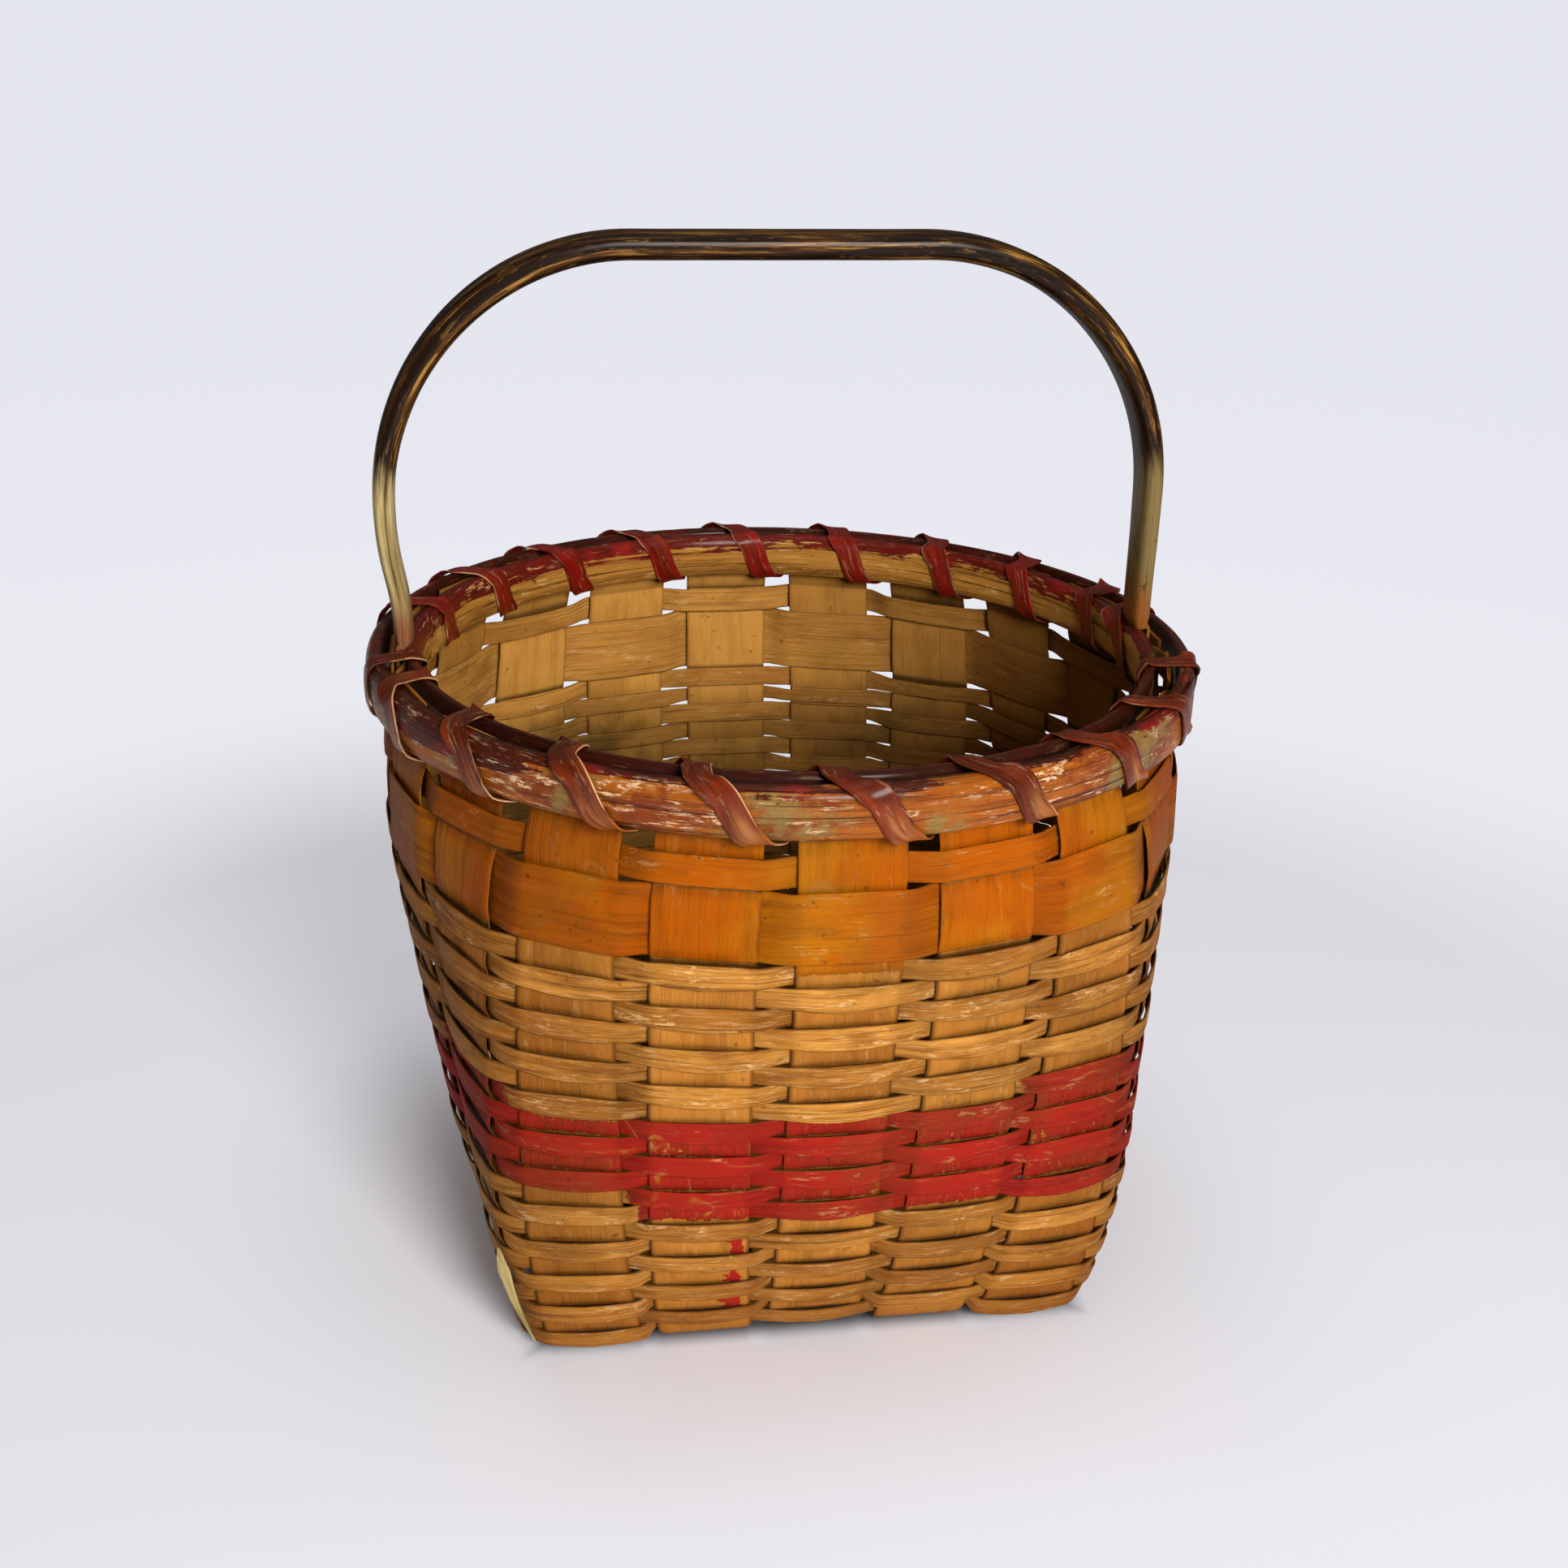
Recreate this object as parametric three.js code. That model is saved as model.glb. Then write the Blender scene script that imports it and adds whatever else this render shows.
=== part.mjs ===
// Splint gathering basket: a square woven base, walls that round out to an oval rim, two hoops
// lashed over the ends of the stakes, and a bent bow handle that locks round the inner hoop.
// Millimetres, +Z up. The origin is on the floor under the middle of the basket, and the handle
// spans X. Every splint, hoop, lashing and bow is one closed solid, clear of its neighbours.
import * as THREE from "three";

// Overall form
const RIM_HALF_WIDTH = 150; // middle to the outside of the outer hoop, along the handle's span
const RIM_HALF_DEPTH = 158; // the same, across the handle's span
const RIM_HEIGHT = 234; // floor to the top of the hoops
const BASE_HALF = 101.5; // middle to the stakes where they fold up into the walls
const BASE_KICK = 4; // rise of the base between its four corner feet
const WALL_BULGE = 12.5; // how far the walls bow out at half their height

// Clearances
const CLEAR = 0.35; // between pieces that lie on each other
const EDGE_CLEAR = 0.6; // how far a splint runs past an edge before it bends
const RIM_CLEAR = 0.6; // between the hoops and the wall that they clasp

// Stakes: each runs up one wall, under the basket and up the opposite wall
const STAKES_PER_SIDE = 5;
const STAKE_THICKNESS = 1.4;
const STAKE_BASE_WIDTH = 31;
const STAKE_RIM_WIDTH = 34.5;
const STAKE_PITCH = 38.5; // middle to middle in the base
const STAKE_DROP = 2; // stake ends are trimmed this far below the top of the hoops
const FOLD_LENGTH = 5.5; // how far the fold reaches along the base and up the wall
const STRAIGHT_WALL_STEPS = 14; // sections up a wall in the middle of a side
const TWIST_WALL_STEPS = 2; // more of them for each place towards the corners, where stakes twist

// Weavers: each runs once round the walls, and its ends lap behind each other
const WEAVER_THICKNESS = 1;
const RIM_WEAVER_WIDTH = 9; // between the hoops
const TOP_WEAVER_WIDTH = 10;
const WIDE_BAND_WIDTH = 25.5;
const UPPER_WEAVER_WIDTH = 7.6; // narrow weavers, from this width under the wide band
const LOWER_WEAVER_WIDTH = 6.4; // to this one above the base
const ROW_GAP = 0.35; // least gap between rows
const BAND_GAP = 1.2; // above and below the wide band
const FIRST_ROW_LENGTH = 9.5; // up the wall from the base to the lowest weaver
const LAP_STAKES = 2; // stakes that both ends of a weaver cross
const LAP_INSET = 1.5; // how far a lapped end stops short of the stake's edge
const TWIST_WIDTH = 14; // a twisted weaver gets a section for each such part of its width
const TWIST_LIMIT = 1.5; // twist in one step, in thicknesses of the strip across its width
const FIRST_LAP_STAKE = 10; // the laps are spread over the back of the basket

// Hoops: half-round strips, scarfed where their ends lap
const HOOP_HEIGHT = 18;
const OUTER_HOOP_DEPTH = 6;
const INNER_HOOP_DEPTH = 5;
const SCARF_TIP = 0.9; // thickness left at the tip of a scarf
const SCARF_ANGLE = 0.48; // radians that the two ends share
const SCARF_STEPS = 5;
const SCARF_STEP = 0.03; // radians in which a hoop goes from full depth to its scarf
const OUTER_SCARF_AT = -0.9; // radians from +X to the start of the outer hoop
const INNER_SCARF_AT = 2.4;
const HOOP_STEPS = 56;
const HOOP_FULLNESS = 0.62; // 1 is an ellipse, less is squarer

// Lashing: one strip that goes over the rim and through the wall between every two stakes
const LASHING_WIDTH = 7;
const LASHING_THICKNESS = 0.9;
const LASHING_CLEAR = 1; // between the lashing and the hoops
const LASHING_SLOT = 8.2; // open wall under the hoops, for the lashing
const LASHING_CROSSING = 0.4; // share of a turn at which it crosses the top of the rim
const LASHING_PAST_LEG = 0.89; // the same where the handle is in the way
const LASHING_DRIFT = 0.03; // share of a turn by which it leans as it goes through the wall

// Handle: a bow whose legs run down inside the walls, under the weavers
const HANDLE_HEIGHT = 378; // floor to the top of the grip
const HANDLE_HALF_SPAN = 138.5; // middle of the bow at its widest
const SHOULDER_HEIGHT = 285; // where the bow starts to turn in
const BOW_LEAN = -2.2; // how far the bow stands off the middle, towards +X
const GRIP_HALF_LENGTH = 52; // straight part of the grip
const GRIP_WIDTH = 20;
const GRIP_THICKNESS = 9;
const LEG_WIDTH = 17.5;
const LEG_THICKNESS = 5.6;
const HOOK_THICKNESS = 5; // shoulder that catches under the inner hoop
const HOOK_HEIGHT = 7;
const NOTCH_THICKNESS = 2; // leg behind the inner hoop
const TAIL_THICKNESS = 3; // leg under the hook
const TAIL_TIP_THICKNESS = 1.6;
const TAIL_TIP_WIDTH = 9;
const LEG_LENGTH = 112; // top of the hoops to the tip of the tail
const TAIL_STEPS = 6;
const BOW_STEPS = 34;
const CHAMFER_SHARE = 0.28; // of the thickness

// Colours, roughness and metalness
const finish = (color, roughness) => new THREE.MeshStandardMaterial({ color, roughness, metalness: 0 });
const NATURAL = finish("#b07a3a", 0.6);
const ORANGE = finish("#c8740e", 0.45);
const RED = finish("#b3242a", 0.5);
const RIM_BROWN = finish("#8a3a1c", 0.4);
const LASHING_RED = finish("#7d1f1d", 0.4);
const HANDLE_BROWN = finish("#4a3114", 0.35);

const { lerp, smoothstep } = THREE.MathUtils;
const vec = (x, y, z) => new THREE.Vector3(x, y, z);
const moved = (point, ...steps) =>
  steps.reduce((sum, [direction, distance]) => sum.addScaledVector(direction, distance), point.clone());

// What follows from the driving dimensions
const SIDES = 4;
const STAKE_COUNT = SIDES * STAKES_PER_SIDE;
const MIDDLE_PLACE = (STAKES_PER_SIDE - 1) / 2;
const STAKE_ANGLE = (2 * Math.PI) / STAKE_COUNT;
const HOOP_BOTTOM = RIM_HEIGHT - HOOP_HEIGHT;
const HOOP_MIDDLE = RIM_HEIGHT - HOOP_HEIGHT / 2;
const WEAVER_OFFSET = STAKE_THICKNESS / 2 + CLEAR + WEAVER_THICKNESS / 2;
const LAP_OFFSET = WEAVER_OFFSET + WEAVER_THICKNESS + CLEAR;
const STAKE_BOW = STAKE_RIM_WIDTH ** 2 / (8 * RIM_HALF_WIDTH); // a flat stake's edges stand out so far
const OUTER_STANDOFF = WEAVER_OFFSET + WEAVER_THICKNESS / 2 + STAKE_BOW + RIM_CLEAR;
const INNER_STANDOFF = STAKE_THICKNESS / 2 + NOTCH_THICKNESS + WEAVER_THICKNESS + 3 * CLEAR;
const WALL_RIM_X = RIM_HALF_WIDTH - OUTER_HOOP_DEPTH - OUTER_STANDOFF;
const WALL_RIM_Y = RIM_HALF_DEPTH - OUTER_HOOP_DEPTH - OUTER_STANDOFF;
const BASE_STEP = (STAKE_THICKNESS + CLEAR) / 2; // a stake's rise or fall where two cross
const FEET_HEIGHT = BASE_STEP + STAKE_THICKNESS / 2;

// Whether the line from a to c stands out of the twisted face a, b, c, d, rather than lies in it.
function isRidge(a, b, c, d) {
  const across = c.clone().sub(a);
  const facing = across.clone().cross(d.clone().sub(b));
  return facing.dot(a.clone().add(c).sub(b).sub(d)) > 0;
}

// Geometry made of rings of points, joined side by side and closed at both ends.
// Each ring runs anticlockwise, seen from where the loft goes. A twisted face is folded inwards,
// so that a strip never stands out into the one that lies on it.
function loft(rings) {
  const sides = rings[0].length;
  const points = rings.flat();
  const index = [];
  for (let ring = 0; ring < rings.length - 1; ring++) {
    for (let side = 0; side < sides; side++) {
      const a = ring * sides + side;
      const b = ring * sides + ((side + 1) % sides);
      const c = b + sides;
      const d = a + sides;
      const ridge = isRidge(points[a], points[b], points[c], points[d]);
      index.push(...(ridge ? [a, b, d, b, c, d] : [a, b, c, a, c, d]));
    }
  }
  const last = (rings.length - 1) * sides;
  for (let side = 1; side < sides - 1; side++) {
    index.push(0, side + 1, side, last, last + side, last + side + 1);
  }
  const geometry = new THREE.BufferGeometry().setFromPoints(points);
  geometry.setIndex(index);
  geometry.computeVertexNormals();
  return geometry;
}

// Stations with more put in where the strip twists, so that its two faces, folded inwards, stay apart.
function eased(stations, thickness) {
  return stations.flatMap((station, i) => {
    const after = stations[i + 1];
    if (!after) return [station];
    const twist = station.across.angleTo(after.across);
    const steps = Math.max(Math.ceil((twist * station.width) / (TWIST_LIMIT * thickness)), 1);
    return Array.from({ length: steps }, (_, step) => {
      const share = step / steps;
      return {
        point: station.point.clone().lerp(after.point, share),
        across: station.across.clone().lerp(after.across, share).normalize(),
        width: lerp(station.width, after.width, share),
      };
    });
  });
}

// A flat strip through stations, each with a point, the direction across the strip and its width.
// Bends are mitred, so that the strip keeps its thickness.
function strip(placed, thickness) {
  const stations = eased(placed, thickness);
  const flat = (from, to, across) => {
    const step = to.point.clone().sub(from.point);
    return step.addScaledVector(across, -step.dot(across)).normalize();
  };
  const rings = stations.map((station, i) => {
    const { point, across, width } = station;
    const before = stations[i - 1];
    const after = stations[i + 1];
    const arriving = before ? flat(before, station, across) : flat(station, after, across);
    const leaving = after ? flat(station, after, across) : arriving;
    const along = arriving.clone().add(leaving).normalize();
    const facing = along.clone().cross(across);
    const half = thickness / 2 / along.dot(arriving);
    return [[-1, -1], [1, -1], [1, 1], [-1, 1]].map(([a, f]) =>
      moved(point, [across, (a * width) / 2], [facing, f * half]));
  });
  return loft(rings);
}

// A direction given along and out of a side of the basket, turned to that side.
function turned(side, along, out) {
  const angle = (side * Math.PI) / 2;
  const cos = Math.cos(angle);
  const sin = Math.sin(angle);
  return vec(along * cos + out * sin, along * sin - out * cos, 0);
}

// The middle of the woven base: raised by the kick, and level at its four corners.
function baseHeight(x, y) {
  const corner = (distance) =>
    smoothstep(Math.abs(distance), STAKE_PITCH * (MIDDLE_PLACE - 1.5), STAKE_PITCH * (MIDDLE_PLACE - 0.5));
  return FEET_HEIGHT + BASE_KICK * (1 - corner(x) * corner(y));
}

const sideOf = (stake) => Math.floor(stake / STAKES_PER_SIDE);
const placeOf = (stake) => (stake % STAKES_PER_SIDE) - MIDDLE_PLACE;
const isHandleStake = (stake) => placeOf(stake) === 0 && sideOf(stake) % 2 === 1;

// The middle of a stake at a share of the way from the base to the top of the rim.
// The wall flares up to the hoops and stands upright between them.
function stakePoint(stake, share) {
  const side = sideOf(stake);
  const place = placeOf(stake);
  const base = turned(side, place * STAKE_PITCH, BASE_HALF);
  const foot = baseHeight(base.x, base.y);
  const height = lerp(foot, RIM_HEIGHT, share);
  const flare = Math.min((height - foot) / (HOOP_BOTTOM - foot), 1);
  const angle = place * STAKE_ANGLE;
  const spoke = turned(side, Math.sin(angle), Math.cos(angle));
  const rim = vec(spoke.x * WALL_RIM_X, spoke.y * WALL_RIM_Y, 0);
  const outAtRim = vec(spoke.x / WALL_RIM_X, spoke.y / WALL_RIM_Y, 0).normalize();
  const out = turned(side, 0, 1).lerp(outAtRim, flare).normalize();
  const point = base.clone().lerp(rim, flare);
  point.setLength(point.length() + WALL_BULGE * (1 - Math.abs(2 * flare - 1) ** 3));
  point.z = height;
  return { point, out };
}

// The share of the way up a stake that is at a height.
function shareAt(stake, height) {
  const foot = stakePoint(stake, 0).point.z;
  return (height - foot) / (RIM_HEIGHT - foot);
}

// A stake's middle there, with the directions across it, up it and out of its face, and its width.
function stakeAt(stake, share) {
  const nearby = 0.001;
  const { point, out } = stakePoint(stake, share);
  const up = stakePoint(stake, share + nearby).point.sub(stakePoint(stake, share - nearby).point).normalize();
  const across = vec(-out.y, out.x, 0);
  const facing = across.clone().cross(up).normalize();
  return { point, across, up, facing, width: lerp(STAKE_BASE_WIDTH, STAKE_RIM_WIDTH, share) };
}

// One stake: down a wall, under and over the stakes that it crosses in the base, and up the far wall.
function stakeStrip(stake) {
  const side = sideOf(stake);
  const place = placeOf(stake);
  const farStake = STAKES_PER_SIDE * (side + 2) + (STAKES_PER_SIDE - 1 - (stake % STAKES_PER_SIDE));
  const across = turned(side, 1, 0);
  const topShare = shareAt(stake, RIM_HEIGHT - STAKE_DROP);
  const hoopShare = shareAt(stake, HOOP_BOTTOM);
  const foldShare = FOLD_LENGTH / RIM_HEIGHT;
  const wallSteps = STRAIGHT_WALL_STEPS + TWIST_WALL_STEPS * Math.abs(place);
  const foldSteps = 3;
  const risesFirst = (place + side) % 2 === 0 ? 1 : -1;
  const levelAt = (crossing) => {
    const sign = Math.abs(crossing) % 2 === 0 ? risesFirst : -risesFirst;
    const middle = turned(side, place * STAKE_PITCH, -crossing * STAKE_PITCH);
    return baseHeight(middle.x, middle.y) + sign * BASE_STEP;
  };
  const basePoint = (inward, height) => {
    const point = turned(side, place * STAKE_PITCH, -inward);
    point.z = height;
    return { point, across, width: STAKE_BASE_WIDTH };
  };

  // A wall from the rim to the fold, and the fold, which is a rounded corner.
  const wall = (wallStake, turn, edgeHeight) => {
    const shares = [topShare];
    for (let step = 0; step <= wallSteps; step++) shares.push(lerp(hoopShare, foldShare, step / wallSteps));
    const stations = shares.map((share) => {
      const at = stakeAt(wallStake, share);
      return { point: at.point, across: at.across.multiplyScalar(turn), width: at.width };
    });
    const foot = stations[stations.length - 1].point;
    const corner = basePoint(-turn * BASE_HALF, edgeHeight).point;
    const inner = basePoint(-turn * (BASE_HALF - FOLD_LENGTH), edgeHeight).point;
    const curve = new THREE.QuadraticBezierCurve3(foot, corner, inner);
    for (let step = 1; step <= foldSteps; step++) {
      stations.push({ point: curve.getPoint(step / foldSteps), across, width: STAKE_BASE_WIDTH });
    }
    return stations;
  };

  const base = [];
  for (let crossing = -MIDDLE_PLACE; crossing <= MIDDLE_PLACE; crossing++) {
    const reach = STAKE_BASE_WIDTH / 2 + EDGE_CLEAR;
    const isFirst = crossing === -MIDDLE_PLACE;
    const isLast = crossing === MIDDLE_PLACE;
    if (!isFirst) base.push(basePoint(crossing * STAKE_PITCH - reach, levelAt(crossing)));
    if (!isLast) base.push(basePoint(crossing * STAKE_PITCH + reach, levelAt(crossing)));
  }
  const near = wall(stake, 1, levelAt(-MIDDLE_PLACE));
  const far = wall(farStake, -1, levelAt(MIDDLE_PLACE)).reverse();
  return strip([...near, ...base, ...far], STAKE_THICKNESS);
}

// Lengths up a corner stake, the shortest, at even shares of the way from the base to the rim.
const WALL_SAMPLES = 400;
const UP_WALL = [0];
for (let i = 1; i <= WALL_SAMPLES; i++) {
  const [here, before] = [i, i - 1].map((sample) => stakePoint(0, sample / WALL_SAMPLES).point);
  UP_WALL.push(UP_WALL[i - 1] + here.distanceTo(before));
}
function shareUpWall(length) {
  const next = Math.max(UP_WALL.findIndex((reached) => reached > length), 1);
  const part = (length - UP_WALL[next - 1]) / (UP_WALL[next] - UP_WALL[next - 1]);
  return (next - 1 + part) / WALL_SAMPLES;
}

// The rows of weaving from the rim down: name, width, lap, and the shares of the wall they cover.
function weaverRows() {
  const rimRow = [HOOP_MIDDLE + RIM_WEAVER_WIDTH / 2, HOOP_MIDDLE - RIM_WEAVER_WIDTH / 2];
  const [rimTop, rimBottom] = rimRow.map((height) => shareAt(0, height));
  const rows = [{ name: "rim_weaver", width: RIM_WEAVER_WIDTH, lap: 0, top: rimTop, bottom: rimBottom }];
  let edge = UP_WALL[Math.floor(shareAt(0, HOOP_BOTTOM) * WALL_SAMPLES)] - LASHING_SLOT;
  const add = (name, width, gap) => {
    const [top, bottom] = [edge, edge - width].map(shareUpWall);
    rows.push({ name, width, lap: LAP_STAKES, top, bottom });
    edge -= width + gap;
  };
  add("top_weaver", TOP_WEAVER_WIDTH, BAND_GAP);
  add("wide_band", WIDE_BAND_WIDTH, BAND_GAP);
  const room = edge - FIRST_ROW_LENGTH;
  const meanWidth = (UPPER_WEAVER_WIDTH + LOWER_WEAVER_WIDTH) / 2;
  const count = Math.floor((room + ROW_GAP) / (meanWidth + ROW_GAP));
  const gap = (room - count * meanWidth) / (count - 1);
  for (let row = 0; row < count; row++) {
    const width = lerp(UPPER_WEAVER_WIDTH, LOWER_WEAVER_WIDTH, row / (count - 1));
    add(`weaver_${String(row + 1).padStart(2, "0")}`, width, gap);
  }
  return rows;
}

// The handle's leg beside its stake: its thickness and width at a height under the rim.
const TAIL_TOP = HOOP_BOTTOM - CLEAR - HOOK_HEIGHT;
const TAIL_TIP = RIM_HEIGHT - LEG_LENGTH;
function legAt(height) {
  const taper = THREE.MathUtils.clamp((height - TAIL_TIP) / (TAIL_TOP - TAIL_TIP), 0, 1);
  const inNotch = height > HOOP_BOTTOM - CLEAR;
  return {
    thickness: inNotch ? NOTCH_THICKNESS : lerp(TAIL_TIP_THICKNESS, TAIL_THICKNESS, taper),
    width: lerp(TAIL_TIP_WIDTH, LEG_WIDTH, taper),
  };
}

// One weaver: outside one stake, inside the next, and at its lap outside its own first end.
function weaverStrip(row, number) {
  const firstStake = FIRST_LAP_STAKE + 2 * (Math.floor(number / 2) % 2) + (number % 2);
  const crossings = STAKE_COUNT + row.lap;
  const stations = [];
  for (let crossing = 0; crossing < crossings; crossing++) {
    const stake = (firstStake + crossing) % STAKE_COUNT;
    const top = stakeAt(stake, row.top);
    const middle = stakeAt(stake, (row.top + row.bottom) / 2);
    const bottom = stakeAt(stake, row.bottom);
    const isOutside = (stake + number) % 2 === 0;
    const isStart = crossing < row.lap;
    const isTail = crossing >= STAKE_COUNT;
    const isUnder = isStart !== isOutside && (isStart || isTail);
    const offset = (isOutside ? 1 : -1) * (isUnder ? LAP_OFFSET : WEAVER_OFFSET);
    const reach = top.width / 2 + EDGE_CLEAR;
    const put = (side, out) => {
      const [above, on, below] = [top, middle, bottom].map((at) =>
        moved(at.point, [at.across, side], [at.facing, out]));
      const across = below.clone().sub(above).normalize();
      const point = isOutside ? on : above.add(below).multiplyScalar(0.5);
      stations.push({ point, across, width: row.width });
    };
    const from = crossing === 0 && row.lap ? -reach + LAP_INSET : -reach;
    const to = crossing === crossings - 1 && row.lap ? reach - LAP_INSET : reach;
    put(from, offset);
    if (isHandleStake(stake) && !isOutside && top.point.z > TAIL_TIP) {
      const leg = legAt(top.point.z);
      const legReach = leg.width / 2 + EDGE_CLEAR;
      put(-legReach, offset - leg.thickness - CLEAR);
      put(legReach, offset - leg.thickness - CLEAR);
    }
    const columns = Math.round((Math.abs(placeOf(stake)) * row.width) / TWIST_WIDTH);
    for (let column = 1; column < columns; column++) put(lerp(from, to, column / columns), offset);
    put(to, offset);
  }
  return strip(stations, WEAVER_THICKNESS);
}

// A point of the rim's oval: a distance out from the middle of the wall, at an angle and a height.
function rimPoint(angle, out, height) {
  return vec((WALL_RIM_X + out) * Math.cos(angle), (WALL_RIM_Y + out) * Math.sin(angle), height);
}

// The half-round outline of a hoop, from its top to its bottom: distance out of its flat and height.
// Where the hoop is scarfed, only the part of its depth from one distance to another is left.
const HOOP_OUTLINE_STEPS = 4;
function hoopOutline(depth, halfHeight, from, to) {
  const widest = Math.acos((from / depth) ** (1 / HOOP_FULLNESS));
  return Array.from({ length: HOOP_OUTLINE_STEPS + 1 }, (_, step) => {
    const angle = lerp(widest, -widest, step / HOOP_OUTLINE_STEPS);
    const out = Math.min(depth * Math.max(Math.cos(angle), 0) ** HOOP_FULLNESS, to);
    const rise = Math.sign(angle) * Math.abs(Math.sin(angle)) ** HOOP_FULLNESS;
    return { out, height: HOOP_MIDDLE + halfHeight * rise };
  });
}

// A hoop: a half-round strip, once round the rim, whose scarfed ends lie on each other.
// Outward is 1 for the outer hoop and -1 for the inner one, whose round side faces in.
function hoop(standoff, depth, outward, startsAt) {
  const turn = 2 * Math.PI;
  const thickest = depth - SCARF_TIP - CLEAR;
  const ring = (angle, from, to) => {
    const outline = hoopOutline(depth, HOOP_HEIGHT / 2, from, to);
    const points = outline.map(({ out, height }) => rimPoint(angle, outward * (standoff + out), height));
    return outward > 0 ? points : points.reverse();
  };
  const rings = [];
  for (let step = 0; step <= SCARF_STEPS; step++) {
    const share = step / SCARF_STEPS;
    rings.push(ring(startsAt + SCARF_ANGLE * share, 0, lerp(SCARF_TIP, thickest, share)));
  }
  for (let step = 0; step <= HOOP_STEPS; step++) {
    const angle = lerp(SCARF_ANGLE + SCARF_STEP, turn - SCARF_STEP, step / HOOP_STEPS);
    rings.push(ring(startsAt + angle, 0, depth));
  }
  for (let step = 0; step <= SCARF_STEPS; step++) {
    const share = step / SCARF_STEPS;
    rings.push(ring(startsAt + turn + SCARF_ANGLE * share, lerp(SCARF_TIP, thickest, share) + CLEAR, depth));
  }
  return loft(rings);
}

// The lashing: down over the outer hoop, through the wall, up over the inner hoop and across the top.
function lashingStations() {
  const lift = LASHING_CLEAR + LASHING_THICKNESS / 2;
  const halfHeight = HOOP_HEIGHT / 2 + lift;
  const outline = (depth) => hoopOutline(depth + lift, halfHeight, 0, depth + lift);
  const outer = outline(OUTER_HOOP_DEPTH).map(({ out, height }) => ({ out: OUTER_STANDOFF + out, height }));
  const inner = outline(INNER_HOOP_DEPTH).map(({ out, height }) => ({ out: -INNER_STANDOFF - out, height }));
  inner.reverse();
  const points = [];
  for (let gap = 0; gap < STAKE_COUNT; gap++) {
    const passesLeg = isHandleStake((gap + 1) % STAKE_COUNT);
    const crossing = passesLeg ? LASHING_PAST_LEG : LASHING_CROSSING;
    const gapAngle = (gap + 0.5 - MIDDLE_PLACE) * STAKE_ANGLE - Math.PI / 2;
    const put = (round, from, to, steps) => round.forEach(({ out, height }, step) => {
      const share = lerp(from, to, Math.min(step / steps, 1));
      const angle = gapAngle + share * STAKE_ANGLE;
      points.push({ angle, point: rimPoint(angle, out, height) });
    });
    put(inner, LASHING_DRIFT, crossing - LASHING_DRIFT, HOOP_OUTLINE_STEPS - 1);
    put(outer, crossing + LASHING_DRIFT, 1 - LASHING_DRIFT, HOOP_OUTLINE_STEPS);
  }
  return points.map(({ angle, point }, i) => {
    const ahead = points[Math.min(i + 1, points.length - 1)].point;
    const behind = points[Math.max(i - 1, 0)].point;
    const along = ahead.clone().sub(behind).normalize();
    const across = vec(-WALL_RIM_X * Math.sin(angle), WALL_RIM_Y * Math.cos(angle), 0).normalize();
    across.addScaledVector(along, -across.dot(along)).normalize();
    return { point, across, width: LASHING_WIDTH };
  });
}

// The least gap between turns of the lashing that aren't neighbours along the strip.
function leastGap(stations) {
  const turnSteps = 2 * (HOOP_OUTLINE_STEPS + 1);
  let least = Infinity;
  for (let i = 0; i < stations.length; i++) {
    for (let j = i + turnSteps - 2; j < stations.length; j++) {
      least = Math.min(least, stations[i].point.distanceTo(stations[j].point) - LASHING_WIDTH);
    }
  }
  return least;
}

// The bow's outline as eight points of a rectangle with chamfered corners.
function bowRing(point, facing, width, thickness) {
  const across = vec(0, 1, 0);
  const chamfer = thickness * CHAMFER_SHARE;
  const w = width / 2;
  const t = thickness / 2;
  const corners = [
    [-w + chamfer, -t], [w - chamfer, -t], [w, -t + chamfer], [w, t - chamfer],
    [w - chamfer, t], [-w + chamfer, t], [-w, t - chamfer], [-w, -t + chamfer],
  ];
  return corners.map(([a, f]) => moved(point, [across, a], [facing, f]));
}

// One leg beside its stake, from the tip of the tail to just above the rim.
function legRings(stake) {
  const step = CLEAR / 2;
  const tail = Array.from({ length: TAIL_STEPS + 1 }, (_, i) => {
    const height = lerp(TAIL_TIP, TAIL_TOP, i / TAIL_STEPS);
    return { height, thickness: legAt(height).thickness };
  });
  const heights = [
    ...tail,
    { height: TAIL_TOP + step, thickness: HOOK_THICKNESS },
    { height: HOOP_BOTTOM - CLEAR - step, thickness: HOOK_THICKNESS },
    { height: HOOP_BOTTOM - CLEAR, thickness: NOTCH_THICKNESS },
    { height: RIM_HEIGHT + CLEAR, thickness: NOTCH_THICKNESS },
    { height: RIM_HEIGHT + CLEAR + step, thickness: LEG_THICKNESS },
  ];
  return heights.map(({ height, thickness }) => {
    const { point, out } = stakePoint(stake, shareAt(stake, height));
    const inward = STAKE_THICKNESS / 2 + CLEAR + thickness / 2;
    return { point: moved(point, [out, -inward]), facing: out, width: legAt(height).width, thickness };
  });
}

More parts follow.
